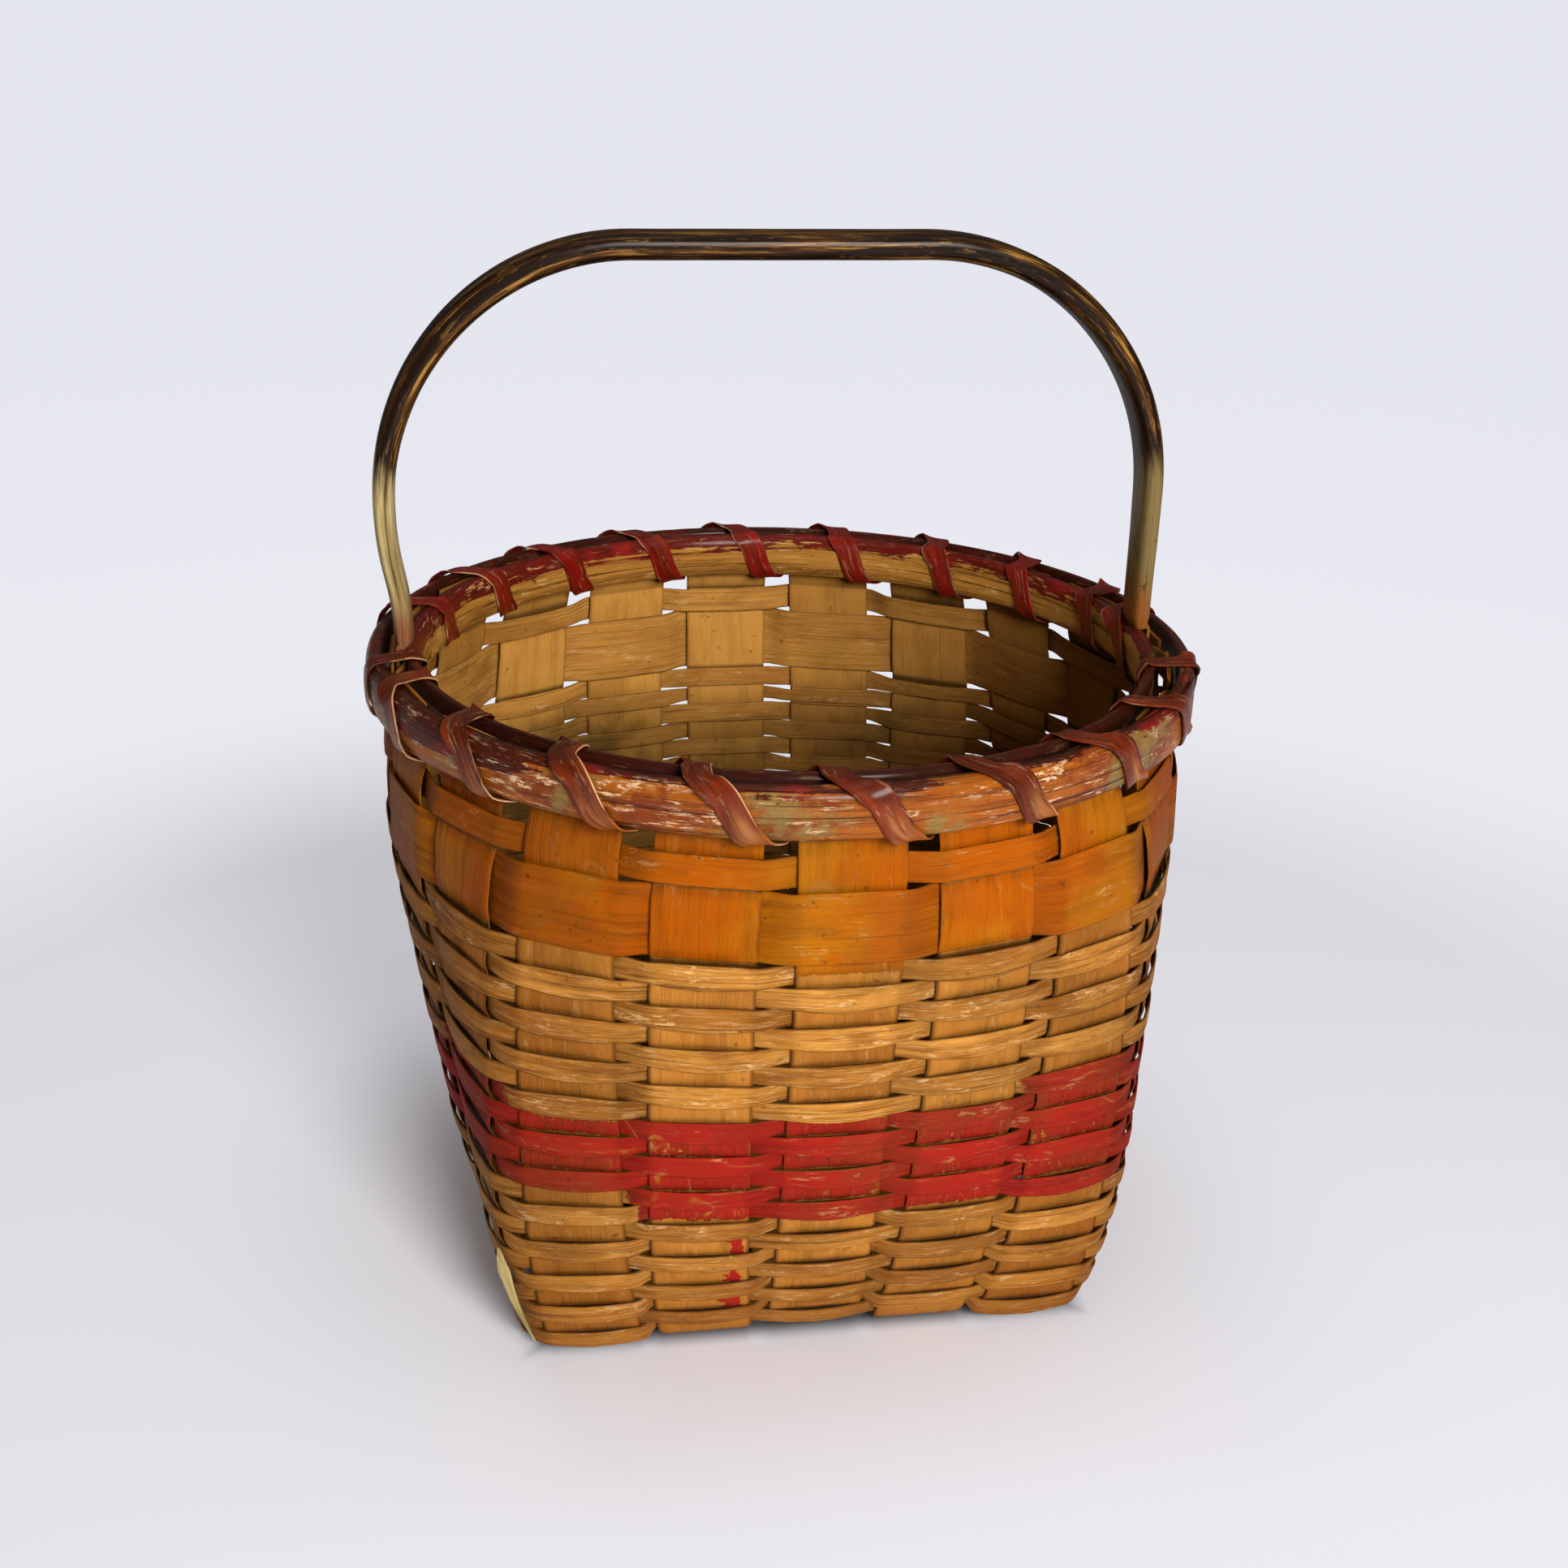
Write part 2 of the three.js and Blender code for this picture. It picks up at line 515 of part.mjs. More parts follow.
// The bow handle: a tail, a leg, the bent bow with its grip, and the other leg and tail.
function bowHandle() {
  const middle = STAKES_PER_SIDE + MIDDLE_PLACE;
  const rightLeg = legRings(middle);
  const leftLeg = legRings(middle + 2 * STAKES_PER_SIDE);
  const foot = rightLeg[rightLeg.length - 1];
  const gripHeight = HANDLE_HEIGHT - GRIP_THICKNESS / 2;
  const bendWidth = HANDLE_HALF_SPAN - GRIP_HALF_LENGTH;
  const bendHeight = gripHeight - SHOULDER_HEIGHT;
  const pull = (SHOULDER_HEIGHT - foot.point.z) / 2;
  const { x: footX, z: footZ } = foot.point;
  const left = BOW_LEAN - HANDLE_HALF_SPAN;
  const right = BOW_LEAN + HANDLE_HALF_SPAN;
  const bow = new THREE.Path();
  bow.moveTo(-footX, footZ);
  bow.bezierCurveTo(-footX, footZ + pull, left, SHOULDER_HEIGHT - pull, left, SHOULDER_HEIGHT);
  bow.absellipse(left + bendWidth, SHOULDER_HEIGHT, bendWidth, bendHeight, Math.PI, Math.PI / 2, true);
  bow.lineTo(right - bendWidth, gripHeight);
  bow.absellipse(right - bendWidth, SHOULDER_HEIGHT, bendWidth, bendHeight, Math.PI / 2, 0, true);
  bow.bezierCurveTo(right, SHOULDER_HEIGHT - pull, footX, footZ + pull, footX, footZ);
  const bent = [];
  for (let step = 1; step < BOW_STEPS; step++) {
    const share = step / BOW_STEPS;
    const { x, y: z } = bow.getPointAt(share);
    const along = bow.getTangentAt(share);
    const toGrip = smoothstep(Math.min(share, 1 - share), 0, 0.3);
    const width = lerp(LEG_WIDTH, GRIP_WIDTH, toGrip);
    bent.push(bowRing(vec(x, 0, z), vec(-along.y, 0, along.x), width, lerp(LEG_THICKNESS, GRIP_THICKNESS, toGrip)));
  }
  const ringOf = ({ point, facing, width, thickness }) => bowRing(point, facing, width, thickness);
  return loft([...leftLeg.map(ringOf), ...bent, ...rightLeg.map(ringOf).reverse()]);
}

// The basket
const basket = new THREE.Group();
function add(name, geometry, material) {
  const mesh = new THREE.Mesh(geometry, material);
  mesh.name = name;
  basket.add(mesh);
}

for (let place = 0; place < STAKES_PER_SIDE; place++) {
  add(`cross_stake_${place + 1}`, stakeStrip(place), NATURAL);
  add(`long_stake_${place + 1}`, stakeStrip(STAKES_PER_SIDE + place), NATURAL);
}

const FIRST_RED_ROW = 11; // counted from the rim, the rim weaver being row 0
const LAST_RED_ROW = 17;
weaverRows().forEach((row, number) => {
  const isRed = number >= FIRST_RED_ROW && number <= LAST_RED_ROW;
  const isOrange = number === 1 || number === 2;
  add(row.name, weaverStrip(row, number), isRed ? RED : isOrange ? ORANGE : NATURAL);
});

add("outer_hoop", hoop(OUTER_STANDOFF, OUTER_HOOP_DEPTH, 1, OUTER_SCARF_AT), RIM_BROWN);
add("inner_hoop", hoop(INNER_STANDOFF, INNER_HOOP_DEPTH, -1, INNER_SCARF_AT), RIM_BROWN);
const lashing = lashingStations();
console.log(`least gap between turns of the rim lashing: ${leastGap(lashing).toFixed(2)} mm`);
add("rim_lashing", strip(lashing, LASHING_THICKNESS), LASHING_RED);
add("bow_handle", bowHandle(), HANDLE_BROWN);

export default basket;
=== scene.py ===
"""Looks of a splint-woven gathering basket with a painted rim, two painted bands and a bent bow handle.

Every splint, hoop, lashing and bow is swept along the same path as its solid, with a finer outline, and
gets a finish made of nodes. Sizes of the form are millimetres, as in the solids, and become metres in the
meshes.
"""

import logging
import math
from collections.abc import Callable
from dataclasses import dataclass, fields
from enum import Enum

import bpy
import numpy as np
from mathutils import Matrix, Vector


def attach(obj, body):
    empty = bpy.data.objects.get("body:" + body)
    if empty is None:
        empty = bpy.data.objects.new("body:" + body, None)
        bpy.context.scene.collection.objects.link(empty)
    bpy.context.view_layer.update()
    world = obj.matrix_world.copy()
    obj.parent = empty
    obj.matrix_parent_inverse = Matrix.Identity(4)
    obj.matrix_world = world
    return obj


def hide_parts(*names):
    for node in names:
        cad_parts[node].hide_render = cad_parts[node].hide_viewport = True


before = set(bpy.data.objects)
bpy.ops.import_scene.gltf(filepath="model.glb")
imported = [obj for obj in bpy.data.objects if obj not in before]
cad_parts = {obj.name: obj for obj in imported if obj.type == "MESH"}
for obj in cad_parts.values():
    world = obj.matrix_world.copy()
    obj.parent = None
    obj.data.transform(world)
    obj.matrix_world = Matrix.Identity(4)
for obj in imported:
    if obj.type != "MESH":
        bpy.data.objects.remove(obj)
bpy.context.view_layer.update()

log = logging.getLogger("basket")

MM = 0.001
ROOT = "root"
UP = np.array([0.0, 0.0, 1.0])

Span = tuple[float, float]
Spot = tuple[float, float, float]
Material = bpy.types.Material


def unit(vectors: np.ndarray) -> np.ndarray:
    """The vectors, each with length 1."""
    return vectors / np.maximum(np.linalg.norm(vectors, axis=-1, keepdims=True), 1e-12)


def smoothstep(value: np.ndarray | float, low: float, high: float) -> np.ndarray | float:
    """0 at or under low, 1 at or over high, and an eased step between them."""
    share = np.clip((value - low) / (high - low), 0.0, 1.0)
    return share * share * (3.0 - 2.0 * share)


def lerp(start: float, end: float, share: float) -> float:
    """The value a share of the way from start to end."""
    return start + (end - start) * share


def squared_circle(angle: float, power: float) -> Span:
    """The sine and cosine of an angle, each raised to a power under its own sign."""
    sine, cosine = (math.copysign(abs(v) ** power, v) for v in (math.sin(angle), math.cos(angle)))
    return sine, cosine


def reach_along(points: np.ndarray) -> np.ndarray:
    """The distance along a line of points to each of them."""
    return np.concatenate([[0.0], np.cumsum(np.linalg.norm(np.diff(points, axis=0), axis=1))])


def linear(code: str) -> tuple[float, float, float, float]:
    """A colour as Blender's shaders take it.

    Args:
        code: The colour as a web code, such as "#b07a3a".

    Returns:
        Its linear red, green and blue, and an alpha of 1.
    """
    parts = [int(code[i : i + 2], 16) / 255.0 for i in (1, 3, 5)]
    red, green, blue = (p / 12.92 if p <= 0.04045 else ((p + 0.055) / 1.055) ** 2.4 for p in parts)
    return red, green, blue, 1.0


def eased(stations: np.ndarray, values: np.ndarray, at: np.ndarray) -> np.ndarray:
    """Values on a smooth curve through stations, which doesn't swing past them.

    Args:
        stations: Rising distances of the stations, n of them.
        values: One row of values for each station.
        at: The distances to read the curve at.

    Returns:
        One row of values for each distance.
    """
    step = np.diff(stations)[:, None]
    chord = np.diff(values, axis=0) / step
    before, after = chord[:-1], chord[1:]
    same_way = before * after > 0
    total = np.where(same_way, before + after, 1.0)
    inner = np.where(same_way, 2.0 * before * after / total, 0.0)
    slope = np.vstack([chord[:1], inner, chord[-1:]])
    i = np.clip(np.searchsorted(stations, at, side="right") - 1, 0, len(stations) - 2)
    length = step[i]
    share = (at - stations[i])[:, None] / length
    rest = 1.0 - share
    start = rest * rest * (1.0 + 2.0 * share) * values[i] + rest * rest * share * length * slope[i]
    end = share * share * (3.0 - 2.0 * share) * values[i + 1] - share * share * rest * length * slope[i + 1]
    return start + end


@dataclass
class Path:
    """The middle line of a splint: where it runs, which way it lies and how big it is there.

    Attributes:
        points: Middle points in millimetres, one row each.
        across: Direction across the splint at each point.
        half_width: Half its width at each point.
        half_depth: Half its thickness at each point.
        exposed: How far its outer face is open to the brush there, from 0 to 1; the finish also paints
            crevice shade where a face tucks away.
        orange: How much orange paint the outer face has there, from 0 to 1.
        red: How much red paint it has, from 0 to 1.
    """

    points: np.ndarray
    across: np.ndarray
    half_width: np.ndarray
    half_depth: np.ndarray
    exposed: np.ndarray
    orange: np.ndarray
    red: np.ndarray

    @classmethod
    def from_stations(cls, stations: list["Station"]) -> "Path":
        """A path through a list of stations."""
        return cls(*(np.array([getattr(s, part.name) for s in stations]) for part in fields(Station)))

    def smoothed(self, spacing: float) -> "Path":
        """The same path on a smooth curve, with points at an even spacing in millimetres.

        Args:
            spacing: The distance between points.

        Returns:
            The smooth path.
        """
        reach = self.lengths()
        at = np.linspace(0.0, reach[-1], max(int(reach[-1] / spacing), 2) + 1)
        plain = (self.half_width, self.half_depth, self.exposed, self.orange, self.red)
        between = [np.interp(at, reach, values) for values in plain]
        return Path(eased(reach, self.points, at), unit(eased(reach, self.across, at)), *between)

    def tangents(self) -> np.ndarray:
        """The direction along the path at each point, square to the direction across."""
        ahead = np.gradient(self.points, axis=0)
        return unit(ahead - self.across * np.sum(ahead * self.across, axis=1, keepdims=True))

    def facing(self) -> np.ndarray:
        """The direction out of the outer face at each point."""
        return unit(np.cross(self.tangents(), self.across))

    def lengths(self) -> np.ndarray:
        """The distance along the path to each point, in millimetres."""
        return reach_along(self.points)


@dataclass
class Station:
    """One place on a splint's middle line, with what a Path holds for it."""

    point: np.ndarray
    across: np.ndarray
    half_width: float
    half_depth: float
    exposed: float = 1.0
    orange: float = 0.0
    red: float = 0.0


@dataclass(frozen=True)
class WallPlace:
    """A place on a stake: its middle, the directions across, up and out of it, and its width."""

    point: np.ndarray
    across: np.ndarray
    up: np.ndarray
    facing: np.ndarray
    width: float


@dataclass(frozen=True)
class Row:
    """One row of weaving: its number from the rim, its node's name, width and shares of the wall."""

    number: int
    node: str
    width: float
    top: float
    bottom: float
    laps: int


@dataclass(frozen=True)
class BasketForm:
    """The basket's driving sizes, in millimetres, and the walls that follow from them."""

    rim_half_width: float = 150.0
    rim_half_depth: float = 158.0
    rim_height: float = 234.0
    base_half: float = 101.5
    base_kick: float = 4.0
    wall_bulge: float = 12.5
    clear: float = 0.35
    rim_clear: float = 0.6
    stakes_per_side: int = 5
    stake_thickness: float = 1.4
    stake_base_width: float = 31.0
    stake_wall_width: float = 33.5
    stake_rim_width: float = 34.5
    stake_pitch: float = 38.5
    weaver_thickness: float = 1.0
    rim_weaver_width: float = 9.0
    top_weaver_width: float = 10.0
    wide_band_width: float = 25.5
    upper_weaver_width: float = 7.6
    lower_weaver_width: float = 6.4
    narrow_rows: int = 22
    band_gap: float = 1.2
    first_row_length: float = 9.5
    hoop_height: float = 18.0
    outer_hoop_depth: float = 6.0
    inner_hoop_depth: float = 5.0
    lashing_slot: float = 8.2
    notch_thickness: float = 2.0
    foot_sag: float = 5.5
    wall_samples: int = 400

    @property
    def stake_count(self) -> int:
        """Stakes round the basket."""
        return 4 * self.stakes_per_side

    @property
    def hoop_bottom(self) -> float:
        """Height of the underside of the hoops."""
        return self.rim_height - self.hoop_height

    @property
    def hoop_middle(self) -> float:
        """Height of the middle of the hoops."""
        return self.rim_height - self.hoop_height / 2

    @property
    def weaver_offset(self) -> float:
        """From the middle of a stake to the middle of a weaver that lies on it."""
        return self.stake_thickness / 2 + self.clear + self.weaver_thickness / 2

    @property
    def outer_standoff(self) -> float:
        """From the middle of the wall to the flat of the outer hoop."""
        bow = self.stake_rim_width**2 / (8 * self.rim_half_width)
        return self.weaver_offset + self.weaver_thickness / 2 + bow + self.rim_clear

    @property
    def inner_standoff(self) -> float:
        """From the middle of the wall to the flat of the inner hoop."""
        return self.stake_thickness / 2 + self.notch_thickness + self.weaver_thickness + 3 * self.clear

    @property
    def wall_rim(self) -> np.ndarray:
        """Half axes of the oval that the middle of the wall makes at the rim."""
        edge = self.outer_hoop_depth + self.outer_standoff
        return np.array([self.rim_half_width - edge, self.rim_half_depth - edge])

    @property
    def feet_height(self) -> float:
        """Height of the middle of the woven base at its four corners."""
        return (self.stake_thickness + self.clear) / 2 + self.stake_thickness / 2

    def side_of(self, stake: int) -> int:
        """The side a stake is on: 0 front, 1 right, 2 back, 3 left."""
        return stake // self.stakes_per_side

    def place_of(self, stake: int) -> int:
        """A stake's place from the middle of its side."""
        return stake % self.stakes_per_side - self.stakes_per_side // 2

    def turned(self, side: int, along: float, out: float) -> np.ndarray:
        """A vector given along and out of a side, turned to that side."""
        cos, sin = math.cos(side * math.pi / 2), math.sin(side * math.pi / 2)
        return np.array([along * cos + out * sin, along * sin - out * cos, 0.0])

    def base_height(self, x: float, y: float) -> float:
        """Height of the middle of the woven base, raised between its four corner feet.

        Args:
            x: The place along x.
            y: The place along y.

        Returns:
            The height.
        """
        low = self.stake_pitch * 0.5
        high = self.stake_pitch * 1.5
        corner = float(smoothstep(abs(x), low, high)) * float(smoothstep(abs(y), low, high))
        return self.feet_height + self.base_kick * (1.0 - corner)

    def stake_point(self, stake: int, share: float) -> tuple[np.ndarray, np.ndarray]:
        """The middle of a stake a share of the way up the wall.

        Args:
            stake: The stake's number, from the left end of the front, anticlockwise from above.
            share: 0 at the base and 1 at the top of the rim.

        Returns:
            The point, and the level direction out of the wall.
        """
        side, place = self.side_of(stake), self.place_of(stake)
        base = self.turned(side, place * self.stake_pitch, self.base_half)
        foot = self.base_height(base[0], base[1])
        height = lerp(foot, self.rim_height, share)
        flare = min((height - foot) / (self.hoop_bottom - foot), 1.0)
        angle = place * 2 * math.pi / self.stake_count
        spoke = self.turned(side, math.sin(angle), math.cos(angle))
        rim = np.array([spoke[0] * self.wall_rim[0], spoke[1] * self.wall_rim[1], 0.0])
        out_at_rim = unit(np.array([spoke[0] / self.wall_rim[0], spoke[1] / self.wall_rim[1], 0.0]))
        out = unit(self.turned(side, 0.0, 1.0) * (1 - flare) + out_at_rim * flare)
        point = base * (1 - flare) + rim * flare
        length = float(np.linalg.norm(point))
        point = point * (1.0 + self.wall_bulge * (1.0 - abs(2 * flare - 1) ** 3) / length)
        point[2] = height
        return point, out

    def share_at(self, stake: int, height: float) -> float:
        """The share of the way up a stake that is at a height."""
        foot = self.stake_point(stake, 0.0)[0][2]
        return (height - foot) / (self.rim_height - foot)

    def stake_at(self, stake: int, share: float) -> WallPlace:
        """A stake's place on the wall, a share of the way up.

        Args:
            stake: The stake's number.
            share: 0 at the base and 1 at the top of the rim.

        Returns:
            The place.
        """
        near = 0.001
        point, out = self.stake_point(stake, share)
        up = unit(self.stake_point(stake, share + near)[0] - self.stake_point(stake, share - near)[0])
        across = np.array([-out[1], out[0], 0.0])
        width = lerp(self.stake_wall_width, self.stake_rim_width, share)
        return WallPlace(point, across, up, unit(np.cross(across, up)), width)

    def sag(self, number: int) -> float:
        """How far a row's outer passes hang below its middle line, most at the foot of the wall."""
        last = self.narrow_rows + 2
        return self.foot_sag * float(smoothstep(number, last - 10, last))

    def rim_point(self, angle: float, out: float, height: float) -> np.ndarray:
        """A point of the rim's oval, a distance out from the middle of the wall."""
        x, y = self.wall_rim + out
        return np.array([x * math.cos(angle), y * math.sin(angle), height])

    def rows(self) -> list[Row]:
        """The rows of weaving from the rim down.

        Returns:
            The rows, with the hidden one between the hoops first.
        """
        samples = np.arange(self.wall_samples + 1) / self.wall_samples
        line = np.array([self.stake_point(0, s)[0] for s in samples])
        reach = reach_along(line)
        half = self.rim_weaver_width / 2
        top, bottom = (self.share_at(0, self.hoop_middle + d) for d in (half, -half))
        made = [Row(0, "rim_weaver", self.rim_weaver_width, top, bottom, 0)]
        edge = float(np.interp(self.share_at(0, self.hoop_bottom), samples, reach)) - self.lashing_slot

        def add(node: str, width: float, gap: float) -> None:
            """Adds a row under the last one.

            Args:
                node: The name of the row's node.
                width: The row's width.
                gap: The gap that is left under it.
            """
            nonlocal edge
            above, below = (float(np.interp(e, reach, samples)) for e in (edge, edge - width))
            made.append(Row(len(made), node, width, above, below, 2))
            edge -= width + gap

        add("top_weaver", self.top_weaver_width, self.band_gap)
        add("wide_band", self.wide_band_width, self.band_gap)
        count = self.narrow_rows
        widths = np.linspace(self.upper_weaver_width, self.lower_weaver_width, count)
        gap = (edge - self.first_row_length - float(widths.sum())) / (count - 1)
        for i, width in enumerate(widths):
            add(f"weaver_{i + 1:02d}", float(width), gap)
        return made


class Outline(Enum):
    """The outlines that are swept along paths: across the piece and out of its face, from -1 to 1."""

    SPLINT = "splint_outline"
    HALF_ROUND = "half_round_outline"
    BOW = "bow_outline"

    def points(self) -> list[Span]:
        """The outline's points, in order round it.

        Returns:
            Pairs of a place across the piece and a place out of its face.
        """
        if self is Outline.SPLINT:
            half = [(1.0, 0.1), (0.985, 0.5), (0.93, 0.8), (0.78, 0.94), (0.4, 1.0)]
            face = [(-a, f) for a, f in half] + [(0.0, 1.02)] + half[::-1]
            return face + [(-a, -f) for a, f in face]
        if self is Outline.HALF_ROUND:
            fullness, steps = 0.62, 14
            angles = [lerp(-math.pi / 2, math.pi / 2, i / steps) for i in range(steps + 1)]
            crown = [squared_circle(a, fullness) for a in angles]
            return crown + [(0.6, 0.0), (0.0, 0.0), (-0.6, 0.0)]
        squareness, steps = 0.58, 28
        angles = [2 * math.pi * i / steps for i in range(steps)]
        return [squared_circle(a, squareness)[::-1] for a in angles][::-1]


Socket = bpy.types.NodeSocket
Plain = float | int | bool | tuple | str | bpy.types.ID | None


class NodeDesk:
    """Adds nodes to one tree and joins them."""

    def __init__(self, tree: bpy.types.NodeTree) -> None:
        """Works on the given tree."""
        self.tree = tree

    @classmethod
    def fresh(cls, owner: Material | bpy.types.World) -> "NodeDesk":
        """A desk for the nodes of a new material or world, emptied first.

        Args:
            owner: The material or world.

        Returns:
            The desk.
        """
        owner.use_nodes = True
        owner.node_tree.nodes.clear()
        return cls(owner.node_tree)

    def put(self, socket: Socket, value: Socket | Plain) -> None:
        """Joins a socket to another one, or sets its plain value.

        Args:
            socket: The socket.
            value: What it gets, where None changes nothing.
        """
        if isinstance(value, bpy.types.NodeSocket):
            self.tree.links.new(value, socket)
        elif value is not None:
            socket.default_value = value

    def add(
        self, kind: str, values: dict[str | int, Socket | Plain] | None = None, **settings: Plain
    ) -> bpy.types.Node:
        """A new node.

        Args:
            kind: The node's type in Blender.
            values: What its inputs get, by name or number.
            **settings: The node's own properties.

        Returns:
            The node.
        """
        node = self.tree.nodes.new(kind)
        for name, value in settings.items():
            setattr(node, name, value)
        for key, value in (values or {}).items():
            self.put(node.inputs[key], value)
        return node

    def math(self, operation: str, a: Socket | float, b: Socket | float = 0.0) -> Socket:
        """The result of one operation on two numbers."""
        return self.add("ShaderNodeMath", {0: a, 1: b}, operation=operation).outputs[0]

    def times(self, a: Socket | float, b: Socket | float) -> Socket:
        """One number times another."""
        return self.math("MULTIPLY", a, b)

    def plus(self, a: Socket | float, b: Socket | float) -> Socket:
        """The sum of two numbers."""
        return self.math("ADD", a, b)

    def minus(self, a: Socket | float, b: Socket | float) -> Socket:
        """One number less another."""
        return self.math("SUBTRACT", a, b)

    def most(self, a: Socket | float, b: Socket | float) -> Socket:
        """The larger of two numbers."""
        return self.math("MAXIMUM", a, b)

    def size(self, a: Socket) -> Socket:
        """A number without its sign."""
        return self.math("ABSOLUTE", a)

    def vector(self, operation: str, a: Socket | tuple, b: Socket | tuple | None = None) -> Socket:
        """The result of one operation on two vectors."""
        return self.add("ShaderNodeVectorMath", {0: a, 1: b}, operation=operation).outputs[0]

    def scaled(self, a: Socket, factor: Socket | float) -> Socket:
        """A vector times a number."""
        return self.add("ShaderNodeVectorMath", {0: a, "Scale": factor}, operation="SCALE").outputs[0]

    def step(self, value: Socket, low: float, high: float, start: float = 0.0, end: float = 1.0) -> Socket:
        """An eased step from start to end as the value goes from low to high."""
        wanted = {"Value": value, "From Min": low, "From Max": high, "To Min": start, "To Max": end}
        return self.add("ShaderNodeMapRange", wanted, interpolation_type="SMOOTHSTEP").outputs[0]

    def noise(
        self, at: Socket, scale: float, detail: float = 3.0, rough: float = 0.5, bend: float = 0.0
    ) -> Socket:
        """Soft noise from 0 to 1."""
        wanted = {"Vector": at, "Scale": scale, "Detail": detail, "Roughness": rough, "Distortion": bend}
        return self.add("ShaderNodeTexNoise", wanted).outputs[0]

    def blend(self, share: Socket | float, a: Socket | str, b: Socket | str, kind: str = "MIX") -> Socket:
        """Two colours blended by a share.

        Args:
            share: How much of the second colour shows, from 0 to 1.
            a: The first colour, as a socket or a web code.
            b: The second colour, as a socket or a web code.
            kind: How the two are blended.

        Returns:
            The blended colour.
        """
        wanted = {0: share}
        for key, colour in ((6, a), (7, b)):
            wanted[key] = linear(colour) if isinstance(colour, str) else colour
        return self.add("ShaderNodeMix", wanted, data_type="RGBA", blend_type=kind).outputs[2]

    def parts(self, vector: Socket) -> list[Socket]:
        """The three parts of a vector."""
        return list(self.add("ShaderNodeSeparateXYZ", {0: vector}).outputs)

    def group(self, tree: bpy.types.NodeTree, values: dict[str, Socket | Plain]) -> dict[str, Socket]:
        """The outputs, by name, of a node group whose inputs get the values."""
        node = self.add("ShaderNodeGroup", values, node_tree=tree)
        return {socket.name: socket for socket in node.outputs}

    def attribute(self, name: str) -> bpy.types.Node:
        """A node that reads one of the piece's own attributes."""
        return self.add("ShaderNodeAttribute", attribute_name=name, attribute_type="GEOMETRY")


